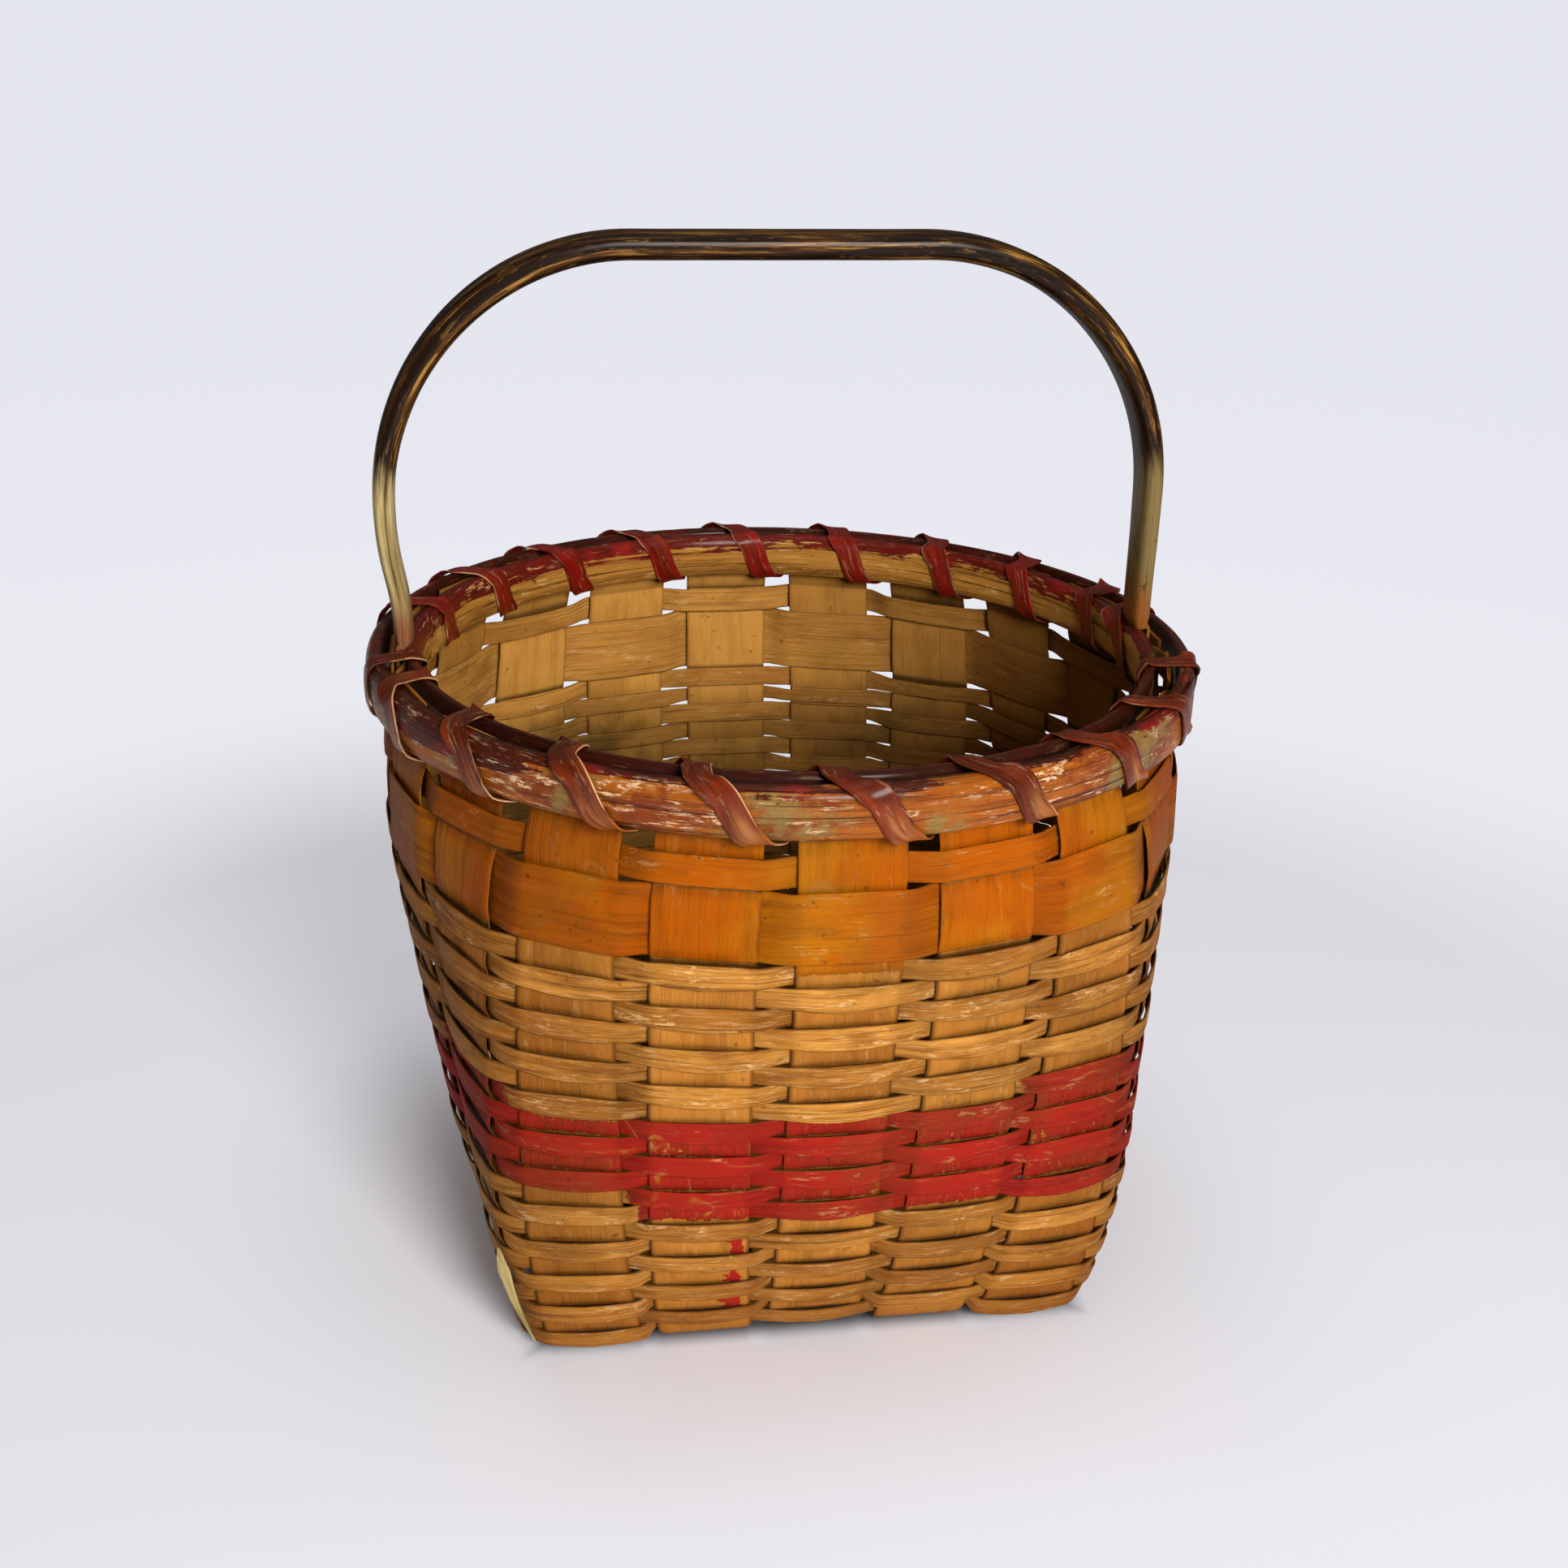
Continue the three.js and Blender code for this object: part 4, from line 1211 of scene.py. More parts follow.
@dataclass(frozen=True)
class HoopFinish:
    """A bent hoop with most of its paint worn thin: maroon over orange over bare wood, with painted shade on
    its left side and towards its flat face.
    """

    name: str
    wood: str = "#b98b50"
    old_wood: str = "#6f4a22"
    low_paint: str = "#a2560c"
    low_smear: str = "#6a300a"
    undertone: str = "#84703c"
    russet: str = "#742a0c"
    high_paint: str = "#4a1806"
    fresh_paint: str = "#7e1a10"
    front_paint: str = "#3e1608"
    chip: str = "#ecc9a0"
    deep: str = "#240d05"
    low_cover: float = 0.95
    high_cover: float = 0.9
    high_from: float = 0.2
    front_rub: float = 0.6
    front_dark: float = 0.0
    left_shade_paint: float = 0.5
    middle: float = 0.225
    half_height: float = 0.009
    sheen: Sheen = Sheen(depth=0.0011)

    def build(self, book: FinishBook) -> Material:
        """The material, from the shared effects.

        Args:
            book: The shared effects.

        Returns:
            The material.
        """
        made, desk, shader = book.material(self.name, self.sheen)
        on = book.surface(desk)
        base = desk.blend(desk.step(on["Smear"], 0.35, 0.7), self.wood, self.old_wood)
        base = desk.blend(desk.step(on["Fibre"], 0.55, 0.8, end=0.6), base, self.chip)
        open_face = desk.step(on["Out"], 0.02, 0.25)
        low = book.worn(desk, on, desk.times(open_face, self.low_cover), 0.9)
        paint = desk.blend(desk.step(on["Smear"], 0.4, 0.66), self.low_paint, self.low_smear)
        worn_red = desk.step(desk.noise(on["Place"], 44.0, 5.0, 0.7), 0.5, 0.6, end=0.7)
        paint = desk.blend(worn_red, paint, self.russet)
        under = desk.step(desk.noise(on["Place"], 30.0, 6.0, 0.7), 0.49, 0.6, end=0.8)
        paint = desk.blend(under, paint, self.undertone)
        base = desk.blend(low["Cover"], base, paint)
        level = desk.math("DIVIDE", desk.minus(on["Z"], self.middle), self.half_height)
        wander = desk.minus(desk.noise(on["Place"], 24.0, 5.0, 0.65), 0.5)
        wander = desk.times(wander, 1.8)
        streaks = desk.times(desk.minus(on["Smear"], 0.5), 1.6)
        level = desk.plus(level, desk.plus(wander, streaks))
        level = desk.minus(level, desk.step(on["Y"], -0.06, -0.15, end=self.front_rub))
        # Painted shade: the left side of the rim takes more of the dark maroon paint.
        level = desk.plus(level, desk.step(on["X"], -0.06, -0.14, end=self.left_shade_paint))
        mask = desk.step(level, self.high_from - 0.2, self.high_from + 0.35, end=self.high_cover)
        high = book.worn(desk, on, mask, 0.75)
        fresh = desk.step(desk.noise(on["Place"], 31.0, 3.0, 0.6), 0.52, 0.64)
        paint = desk.blend(fresh, self.high_paint, self.fresh_paint)
        front = desk.step(on["Y"], 0.02, -0.08, end=self.front_dark)
        paint = desk.blend(front, paint, self.front_paint)
        base = desk.blend(high["Cover"], base, paint)
        crown = desk.step(on["Out"], 0.5, 0.95, start=0.3)
        flake = desk.step(desk.noise(on["Place"], 34.0, 3.0, 0.6), 0.44, 0.56, start=0.2)
        rub = desk.times(desk.times(on["Chip"], crown), flake)
        sliver = desk.times(desk.step(on["Fibre"], 0.6, 0.72), flake)
        rub = desk.most(rub, desk.times(sliver, 0.5))
        rub = desk.most(rub, desk.times(on["Fleck"], crown))
        base = desk.blend(desk.times(rub, 0.85), base, self.chip)
        base = desk.blend(desk.times(on["Crack"], 0.75), base, self.deep)
        base = desk.blend(desk.step(on["Streak"], 0.55, 0.75, end=0.5), base, self.deep)
        base = desk.blend(desk.times(on["Speck"], 0.6), base, self.deep)
        # Painted shade: the hoop is darkened towards its flat face, where it meets the wall.
        base = desk.blend(desk.step(on["Out"], 0.3, 0.0, end=0.6), base, self.deep)
        height = desk.plus(on["Relief"], desk.times(high["Cover"], 0.15))
        height = desk.minus(height, desk.times(on["Crack"], 0.5))
        book.settle(self.sheen, desk, shader, base, on["Fibre"], rub, height)
        return made


@dataclass(frozen=True)
class LashingFinish:
    """A thin painted splint with bare cut edges, a pale crest that is partly wear and partly painted
    highlight, and painted shade on its inner face.
    """

    name: str
    paint: str = "#561d07"
    bright: str = "#782a0a"
    back: str = "#86120d"
    low: str = "#a3591c"
    worn: str = "#a86f3c"
    bare: str = "#d3a479"
    deep: str = "#2c0d06"
    sheen: Sheen = Sheen()

    def build(self, book: FinishBook) -> Material:
        """The material, from the shared effects.

        Args:
            book: The shared effects.

        Returns:
            The material.
        """
        made, desk, shader = book.material(self.name, self.sheen)
        on = book.surface(desk)
        base = desk.blend(desk.step(on["Patch"], 0.4, 0.62), self.paint, self.bright)
        smeared = desk.step(on["Smear"], 0.4, 0.55, start=0.35)
        behind = desk.times(desk.step(on["Y"], -0.04, 0.09), smeared)
        base = desk.blend(behind, base, self.back)
        warm = desk.plus(on["Orange"], desk.minus(on["Smear"], 0.5))
        base = desk.blend(desk.step(warm, 0.3, 0.95, end=0.8), base, self.low)
        # A paler crest on the outer loop: partly paint worn to tan, partly a painted highlight.
        crest_wear_and_highlight = desk.times(desk.step(on["Orange"], 0.0, 0.35), desk.step(on["Orange"], 1.0, 0.55))
        inward = desk.step(desk.size(on["Across"]), 0.95, 0.3)
        crest_wear_and_highlight = desk.times(desk.times(crest_wear_and_highlight, inward), desk.step(on["Smear"], 0.36, 0.6))
        base = desk.blend(desk.times(crest_wear_and_highlight, 0.75), base, self.worn)
        base = desk.blend(desk.step(on["Streak"], 0.48, 0.72, end=0.7), base, self.deep)
        left = book.worn(desk, on, 0.92, 0.9)
        cut = desk.step(on["Across"], 0.88, 0.97)
        cut = desk.times(cut, desk.step(on["Patch"], 0.46, 0.6, end=0.85))
        bare = desk.most(desk.minus(1.0, left["Cover"]), cut)
        bare = desk.most(bare, desk.times(on["Chip"], 0.3))
        base = desk.blend(bare, base, self.bare)
        base = desk.blend(desk.times(on["Crack"], 0.5), base, self.deep)
        # Painted shade: the face that lies against the hoop is darkened.
        base = desk.blend(desk.step(on["Out"], 0.2, -0.4, end=0.7), base, self.deep)
        book.settle(self.sheen, desk, shader, base, on["Fibre"], bare, on["Relief"])
        return made


@dataclass(frozen=True)
class HandleFinish:
    """Bent wood, dark where hands hold it and bare on its lower legs, with a right leg darkened by dirt and
    painted shade.
    """

    name: str
    dark: str = "#1a0c03"
    brown: str = "#4c2c0d"
    gold: str = "#a87a38"
    bare: str = "#bfab7a"
    bare_shade: str = "#867242"
    right_leg_dirt_and_shade: str = "#6f5c34"
    deep: str = "#0e0703"
    left_foot: str = "#7a2a16"
    right_foot: str = "#8a4a14"
    bare_top: float = 0.294
    foot_top: float = 0.25
    fade: float = 0.008
    sheen: Sheen = Sheen(specular=0.06, coat=0.14, rough=0.34, by_fibre=0.3, by_wear=0.12, depth=0.0005)

    def build(self, book: FinishBook) -> Material:
        """The material, from the shared effects.

        Args:
            book: The shared effects.

        Returns:
            The material.
        """
        made, desk, shader = book.material(self.name, self.sheen)
        on = book.surface(desk)
        stain = desk.blend(desk.step(on["Smear"], 0.45, 0.62), self.dark, self.brown)
        rub = desk.times(desk.step(on["Smear"], 0.47, 0.62), desk.step(on["Line"], 0.53, 0.62))
        stain = desk.blend(desk.times(rub, 0.85), stain, self.gold)
        stain = desk.blend(desk.times(on["Chip"], 0.35), stain, self.gold)
        stain = desk.blend(desk.step(on["Streak"], 0.5, 0.68, end=0.85), stain, self.deep)
        pale = desk.blend(desk.step(on["Smear"], 0.4, 0.68), self.bare, self.bare_shade)
        # Darker right leg: partly dirt, partly painted shade.
        pale = desk.blend(desk.step(on["X"], -0.01, 0.01, end=0.9), pale, self.right_leg_dirt_and_shade)
        groove = desk.times(desk.step(on["Streak"], 0.6, 0.68), 0.75)
        pale = desk.blend(groove, pale, self.brown)
        ragged = desk.times(desk.minus(on["Smear"], 0.5), 0.05)
        level = desk.plus(on["Z"], ragged)
        bare = desk.step(level, self.bare_top + self.fade, self.bare_top - self.fade)
        base = desk.blend(bare, stain, pale)
        foot = desk.blend(desk.step(on["X"], -0.01, 0.01), self.left_foot, self.right_foot)
        low = desk.step(level, self.foot_top + self.fade, self.foot_top - self.fade, end=0.75)
        base = desk.blend(low, base, foot)
        base = desk.blend(desk.times(on["Speck"], 0.6), base, self.deep)
        base = desk.blend(desk.times(on["Crack"], 0.6), base, self.deep)
        height = desk.plus(on["Relief"], desk.times(on["Smear"], 0.6))
        book.settle(self.sheen, desk, shader, base, on["Fibre"], bare, desk.minus(height, on["Crack"]))
        return made


@dataclass
class PaintPlan:
    """Where the brush went: the orange band under the rim and the red band lower down."""

    form: BasketForm
    orange_rows: tuple[int, ...] = (1, 2)
    red_first: int = 11
    red_last: int = 16
    high_stakes: tuple[int, ...] = (4, 5, 6)
    short_stakes: tuple[int, ...] = (0, 19)
    stray: float = 0.35
    most_spill: float = 7.0
    edge_red: float = 0.82
    stray_red: float = 0.36
    stake_red: float = 0.76
    fade: float = 2.0
    seed: int = 11

    def __post_init__(self) -> None:
        """Draws how far the paint reaches at each stake."""
        rng = np.random.default_rng(self.seed)
        count = self.form.stake_count
        self.rows = self.form.rows()
        self.spill = rng.uniform(0.0, self.most_spill, count)
        self.first = self.red_first - (rng.random(count) < self.stray)
        self.last = self.red_last - (rng.random(count) < self.stray)
        self.first[: self.form.stakes_per_side] = self.red_first
        self.last[: self.form.stakes_per_side] = self.red_last
        self.first[list(self.high_stakes)] = self.red_first - 1
        self.last[list(self.short_stakes)] = self.red_last - 2

    def row_red(self, number: int, stake: int) -> float:
        """How much red a row's pass over a stake has.

        Args:
            number: The row's number.
            stake: The stake's number.

        Returns:
            The amount, from 0 to 1.
        """
        first, last = self.first[stake], self.last[stake]
        if first <= number <= last:
            return 1.0 if first < number < last else self.edge_red
        return self.stray_red if first - 1 <= number <= last + 1 else 0.0

    def row_orange(self, number: int) -> float:
        """How much orange a row has."""
        return 1.0 if number in self.orange_rows else 0.0

    def stake_paint(self, stake: int, share: float) -> Span:
        """How much orange and red the face of a stake has, a share of the way up.

        Args:
            stake: The stake's number.
            share: 0 at the base and 1 at the top of the rim.

        Returns:
            The two amounts, from 0 to 1.
        """
        band, first, last = (self.rows[number] for number in (2, self.first[stake], self.last[stake]))
        shares = (share, band.bottom, first.top, last.bottom)
        height, band, top, bottom = (self.form.stake_point(stake, s)[0][2] for s in shares)
        band -= self.spill[stake]
        fade = self.fade
        orange = smoothstep(height, band - fade, band + fade)
        red = smoothstep(height, bottom - fade, bottom + fade) * smoothstep(height, top + fade, top - fade)
        return float(orange), float(red) * self.stake_red


@dataclass
class StakeSet:
    """The ten stakes: up one wall, under the basket and up the opposite wall."""

    form: BasketForm
    plan: PaintPlan
    tool: SweepTool
    drop: float = 2.0
    fold_length: float = 5.5
    wall_steps: int = 110
    fold_steps: int = 6
    edge_clear: float = 0.6
    pillow: float = 0.7
    foot_swell: float = 0.7
    hoop_swell: float = 0.1
    slot_swell: float = 0.3
    slot_rise: float = 0.004
    lowest_knot: float = 0.01
    base_shown: float = 0.5
    shown_by_swell: float = 0.9
    spacing: float = 2.0
    first_tone: float = 0.37
    tone_step: float = 1.13

    def wave(self, stake: int) -> tuple[np.ndarray, np.ndarray]:
        """How a stake's face swells out between weavers and is pressed in under them.

        Args:
            stake: The stake's number.

        Returns:
            Shares of the way up the wall, and how far the face swells there, from -1 to 1.
        """
        form = self.form
        under_hoop = form.share_at(stake, form.hoop_bottom)
        knots = [(0.0, self.foot_swell), (1.0, 0.0), (under_hoop, self.hoop_swell)]
        knots.append((self.plan.rows[1].top + self.slot_rise, self.slot_swell))
        for row in self.plan.rows[1:]:
            inset = (row.top - row.bottom) / 4
            sink = form.sag(row.number) / form.rim_height
            swell = -1.0 if (stake + row.number) % 2 == 0 else 1.0
            low = max(row.bottom + inset - sink, self.lowest_knot)
            knots += [(low, swell), (row.top - inset - sink, swell)]
        knots.sort()
        return np.array([k for k, _ in knots]), np.array([w for _, w in knots])

    def stations(self, stake: int) -> list[Station]:
        """The stations of a stake, from the rim, under the basket and up to the rim on the far side.

        Args:
            stake: The stake's number.

        Returns:
            The stations.
        """
        form = self.form
        side, place = form.side_of(stake), form.place_of(stake)
        per_side = form.stakes_per_side
        far = per_side * ((side + 2) % 4) + (per_side - 1 - stake % per_side)
        across = form.turned(side, 1.0, 0.0)
        depth = form.stake_thickness / 2
        rise = (form.stake_thickness + form.clear) / 2
        if (place + side) % 2:
            rise = -rise

        def level_at(crossing: int) -> float:
            """The height of the stake's middle where it crosses another, counted from the base's middle."""
            x, y, _ = form.turned(side, place * form.stake_pitch, -crossing * form.stake_pitch)
            return form.base_height(x, y) + (rise if crossing % 2 == 0 else -rise)

        def base_station(inward: float, height: float) -> Station:
            """A station in the base, at a distance past its middle and at a height."""
            point = form.turned(side, place * form.stake_pitch, -inward) + UP * height
            return Station(point, across, form.stake_base_width / 2, depth, self.base_shown)

        def wall(wall_stake: int, turn: float, edge_height: float) -> list[Station]:
            """The stations down one wall and round the fold into the base.

            Args:
                wall_stake: The stake's number on that wall.
                turn: 1 on the stake's own side and -1 on the far side.
                edge_height: The stake's height at the edge of the base.

            Returns:
                The stations from the rim to the base.
            """
            top = form.share_at(wall_stake, form.rim_height - self.drop)
            low = self.fold_length / form.rim_height
            knots, waves = self.wave(wall_stake)
            made = []
            for share in np.linspace(top, low, self.wall_steps):
                at = form.stake_at(wall_stake, float(share))
                orange, red = self.plan.stake_paint(wall_stake, float(share))
                wave = float(np.interp(share, knots, waves))
                shown = min(max(self.base_shown + self.shown_by_swell * wave, 0.0), 1.0)
                point = at.point + at.facing * self.pillow * wave
                made.append(Station(point, at.across * turn, at.width / 2, depth, shown, orange, red))
            foot = made[-1].point
            corner = base_station(-turn * form.base_half, edge_height).point
            inner = base_station(-turn * (form.base_half - self.fold_length), edge_height).point
            for share in np.linspace(0.0, 1.0, self.fold_steps + 1)[1:]:
                rest = 1.0 - share
                point = foot * rest**2 + corner * 2 * rest * share + inner * share**2
                width = lerp(made[self.wall_steps - 1].half_width, form.stake_base_width / 2, share)
                made.append(Station(point, across, width, depth, lerp(1.0, self.base_shown, share)))
            return made

        middle = per_side // 2
        reach = form.stake_base_width / 2 + self.edge_clear
        base = []
        for crossing in range(-middle, middle + 1):
            if crossing > -middle:
                base.append(base_station(crossing * form.stake_pitch - reach, level_at(crossing)))
            if crossing < middle:
                base.append(base_station(crossing * form.stake_pitch + reach, level_at(crossing)))
        near = wall(stake, 1.0, level_at(-middle))
        back = wall(far, -1.0, level_at(middle))[::-1]
        return near + base + back

    def build(self, finish: Material) -> None:
        """Builds and dresses the stakes.

        Args:
            finish: The stakes' material.
        """
        for place in range(self.form.stakes_per_side):
            for stake, word in ((place, "cross"), (place + self.form.stakes_per_side, "long")):
                node = f"{word}_stake_{place + 1}"
                path = Path.from_stations(self.stations(stake)).smoothed(self.spacing)
                look = {"tone": self.first_tone + stake * self.tone_step}
                look |= {"ripple": 0.5, "ripple_scale": 30.0, "ragged": 0.5}
                piece = self.tool.piece(node + "_splint", path, Outline.SPLINT, finish, **look)
                keep(piece, "natural_splint", node)


@dataclass
class WeaverSet:
    """The weavers: each once round the walls, over one stake and under the next."""

    form: BasketForm
    plan: PaintPlan
    tool: SweepTool
    first_lap_stake: int = 10
    edge_clear: float = 0.6
    lap_inset: float = 1.5
    crown: float = 1.2
    inner_crown: float = 0.8
    edge_press: float = 0.7
    band_crown: float = 0.6
    lens: float = 0.27
    band_lens: float = 0.02
    lens_end: float = 1.04
    low_lens_end: float = 1.16
    loose_stakes: tuple[int, ...] = (9, 10, 11, 12)
    loose_width: float = 0.66
    loose_rows: tuple[int, int] = (7, 12)
    edge_sag: float = 0.9
    inner_sag: float = 0.45
    slip: float = 0.22
    swells: Span = (0.75, 1.3)
    widths: Span = (0.97, 1.05)
    slack_under: float = 1.01
    edge_shown: float = 0.6
    inner_edge_shown: float = 0.5
    shares: tuple[float, ...] = (0.0, 0.12, 0.3, 0.5, 0.7, 0.88, 1.0)
    spacing: float = 2.2
    first_tone: float = 2.11
    tone_step: float = 0.77
    tail_tip: float = 122.0
    leg_tail: float = 3.0
    seed: int = 5

    def stations(self, row: Row, rng: np.random.Generator) -> list[Station]:
        """The stations of one row, from its first end round to its last.

        Args:
            row: The row.
            rng: The source of the row's small chances.

        Returns:
            The stations.
        """
        form = self.form
        first = self.first_lap_stake + 2 * ((row.number // 2) % 2) + row.number % 2
        crossings = form.stake_count + row.laps
        slip = rng.normal(0.0, self.slip, crossings)
        swell = rng.uniform(*self.swells, crossings)
        wide = rng.uniform(*self.widths, crossings)
        least = self.widths[0]
        slack = np.where(wide < self.slack_under, (wide - least) / (self.slack_under - least), 1.0)
        is_narrow = row.number > 2
        crown = self.crown if is_narrow else self.band_crown
        if row.number == 0:
            crown = 0.0
        lens = self.lens if is_narrow else self.band_lens
        low = float(smoothstep(row.number, form.narrow_rows / 2, form.narrow_rows))
        ends = lerp(self.lens_end, self.low_lens_end, low) if is_narrow else 1.0
        lap = form.weaver_thickness + form.clear
        made = []
        for crossing in range(crossings):
            stake = (first + crossing) % form.stake_count
            top, middle, bottom = (
                form.stake_at(stake, s) for s in (row.top, (row.top + row.bottom) / 2, row.bottom)
            )
            outside = (stake + row.number) % 2 == 0
            is_start, is_tail = crossing < row.laps, crossing >= form.stake_count
            sign = 1.0 if outside else -1.0
            rest = form.weaver_offset + (lap if is_start != outside and (is_start or is_tail) else 0.0)
            reach = middle.width / 2 + self.edge_clear
            over_leg = form.place_of(stake) == 0 and form.side_of(stake) % 2 == 1 and not outside
            leg = self.leg_tail + form.clear if over_leg and middle.point[2] > self.tail_tip else 0.0
            start = -reach + (self.lap_inset if crossing == 0 and row.laps else 0.0)
            end = reach - (self.lap_inset if crossing == crossings - 1 and row.laps else 0.0)
            across = unit(top.point - bottom.point)
            drop = form.sag(row.number)
            orange = self.plan.row_orange(row.number)
            red = self.plan.row_red(row.number, stake)
            held = max(float(slack[crossing]), float(smoothstep(row.number, *self.loose_rows)))
            loose = lerp(self.loose_width, 1.0, held) if is_narrow else 1.0
            for share in self.shares:
                along = lerp(start, end, share)
                hump = math.sin(math.pi * share)
                bow = crown if outside else min(crown, self.inner_crown)
                hold = lerp(self.edge_press, 1.0, hump) if is_narrow else 1.0
                out = sign * (rest * hold + bow * swell[crossing] * hump) - leg * hump
                sunk = drop * (1.0 if outside else lerp(self.edge_sag, self.inner_sag, hump))
                rise = (slip[crossing] * hump if is_narrow else 0.0) - sunk
                point = middle.point + middle.across * along + middle.facing * out + middle.up * rise
                half = row.width / 2 * wide[crossing] * (loose if stake in self.loose_stakes else 1.0)
                half *= lerp(ends, 1.0 + lens, hump) if outside else lerp(ends, 1.0, hump)
                is_edge = share in (0.0, 1.0)
                shown = 1.0 if outside else 0.0
                if is_edge:
                    shown = self.edge_shown if outside else self.inner_edge_shown
                made.append(Station(point, across, half, form.weaver_thickness / 2, shown, orange, red))
        return made

    def build(self, natural: Material) -> None:
        """Builds and dresses the rows.

        Args:
            natural: The weavers' material.
        """
        rng = np.random.default_rng(self.seed)
        for row in self.plan.rows:
            path = Path.from_stations(self.stations(row, rng)).smoothed(self.spacing)
            look = {"tone": self.first_tone + row.number * self.tone_step}
            look |= {"ripple": 0.35, "ripple_scale": 45.0, "ragged": 0.7}
            piece = self.tool.piece(row.node + "_splint", path, Outline.SPLINT, natural, **look)
            slot = "natural_splint"
            if row.number in self.plan.orange_rows:
                slot = "orange_splint"
            elif self.plan.red_first <= row.number <= self.plan.red_last:
                slot = "red_splint"
            keep(piece, slot, row.node)


@dataclass
class CornerSliver:
    """A split end of pale splint that stands off the left front corner near the foot."""

    tool: SweepTool
    top: Spot = (-111.4, -105.2, 47.5)
    middle: Spot = (-107.2, -107.2, 29.0)
    tip: Spot = (-99.6, -105.6, 8.0)
    across: Spot = (0.85, -0.53, 0.0)
    width: float = 5.6
    tip_width: float = 1.0
    widest_at: float = 0.22
    thickness: float = 0.8
    steps: int = 14
    spacing: float = 1.5
    tone: float = 6.6

    def build(self, finish: Material) -> None:
        """Builds and dresses the sliver.

        Args:
            finish: The sliver's material.
        """
        top, middle, tip = (np.array(p) for p in (self.top, self.middle, self.tip))
        stations = []
        for share in np.linspace(0.0, 1.0, self.steps):
            rest = 1.0 - share
            point = top * rest**2 + (middle * 2 - (top + tip) / 2) * 2 * rest * share + tip * share**2
            wide = share / self.widest_at if share < self.widest_at else (1 - share) / (1 - self.widest_at)
            half = lerp(self.tip_width, self.width, float(wide)) / 2
            stations.append(Station(point, unit(np.array(self.across)), half, self.thickness / 2))
        path = Path.from_stations(stations).smoothed(self.spacing)
        look = {"tone": self.tone, "ripple": 0.4, "ripple_scale": 60.0, "ragged": 1.4}
        piece = self.tool.piece("corner_sliver_splint", path, Outline.SPLINT, finish, **look)
        keep(piece, "natural_splint")


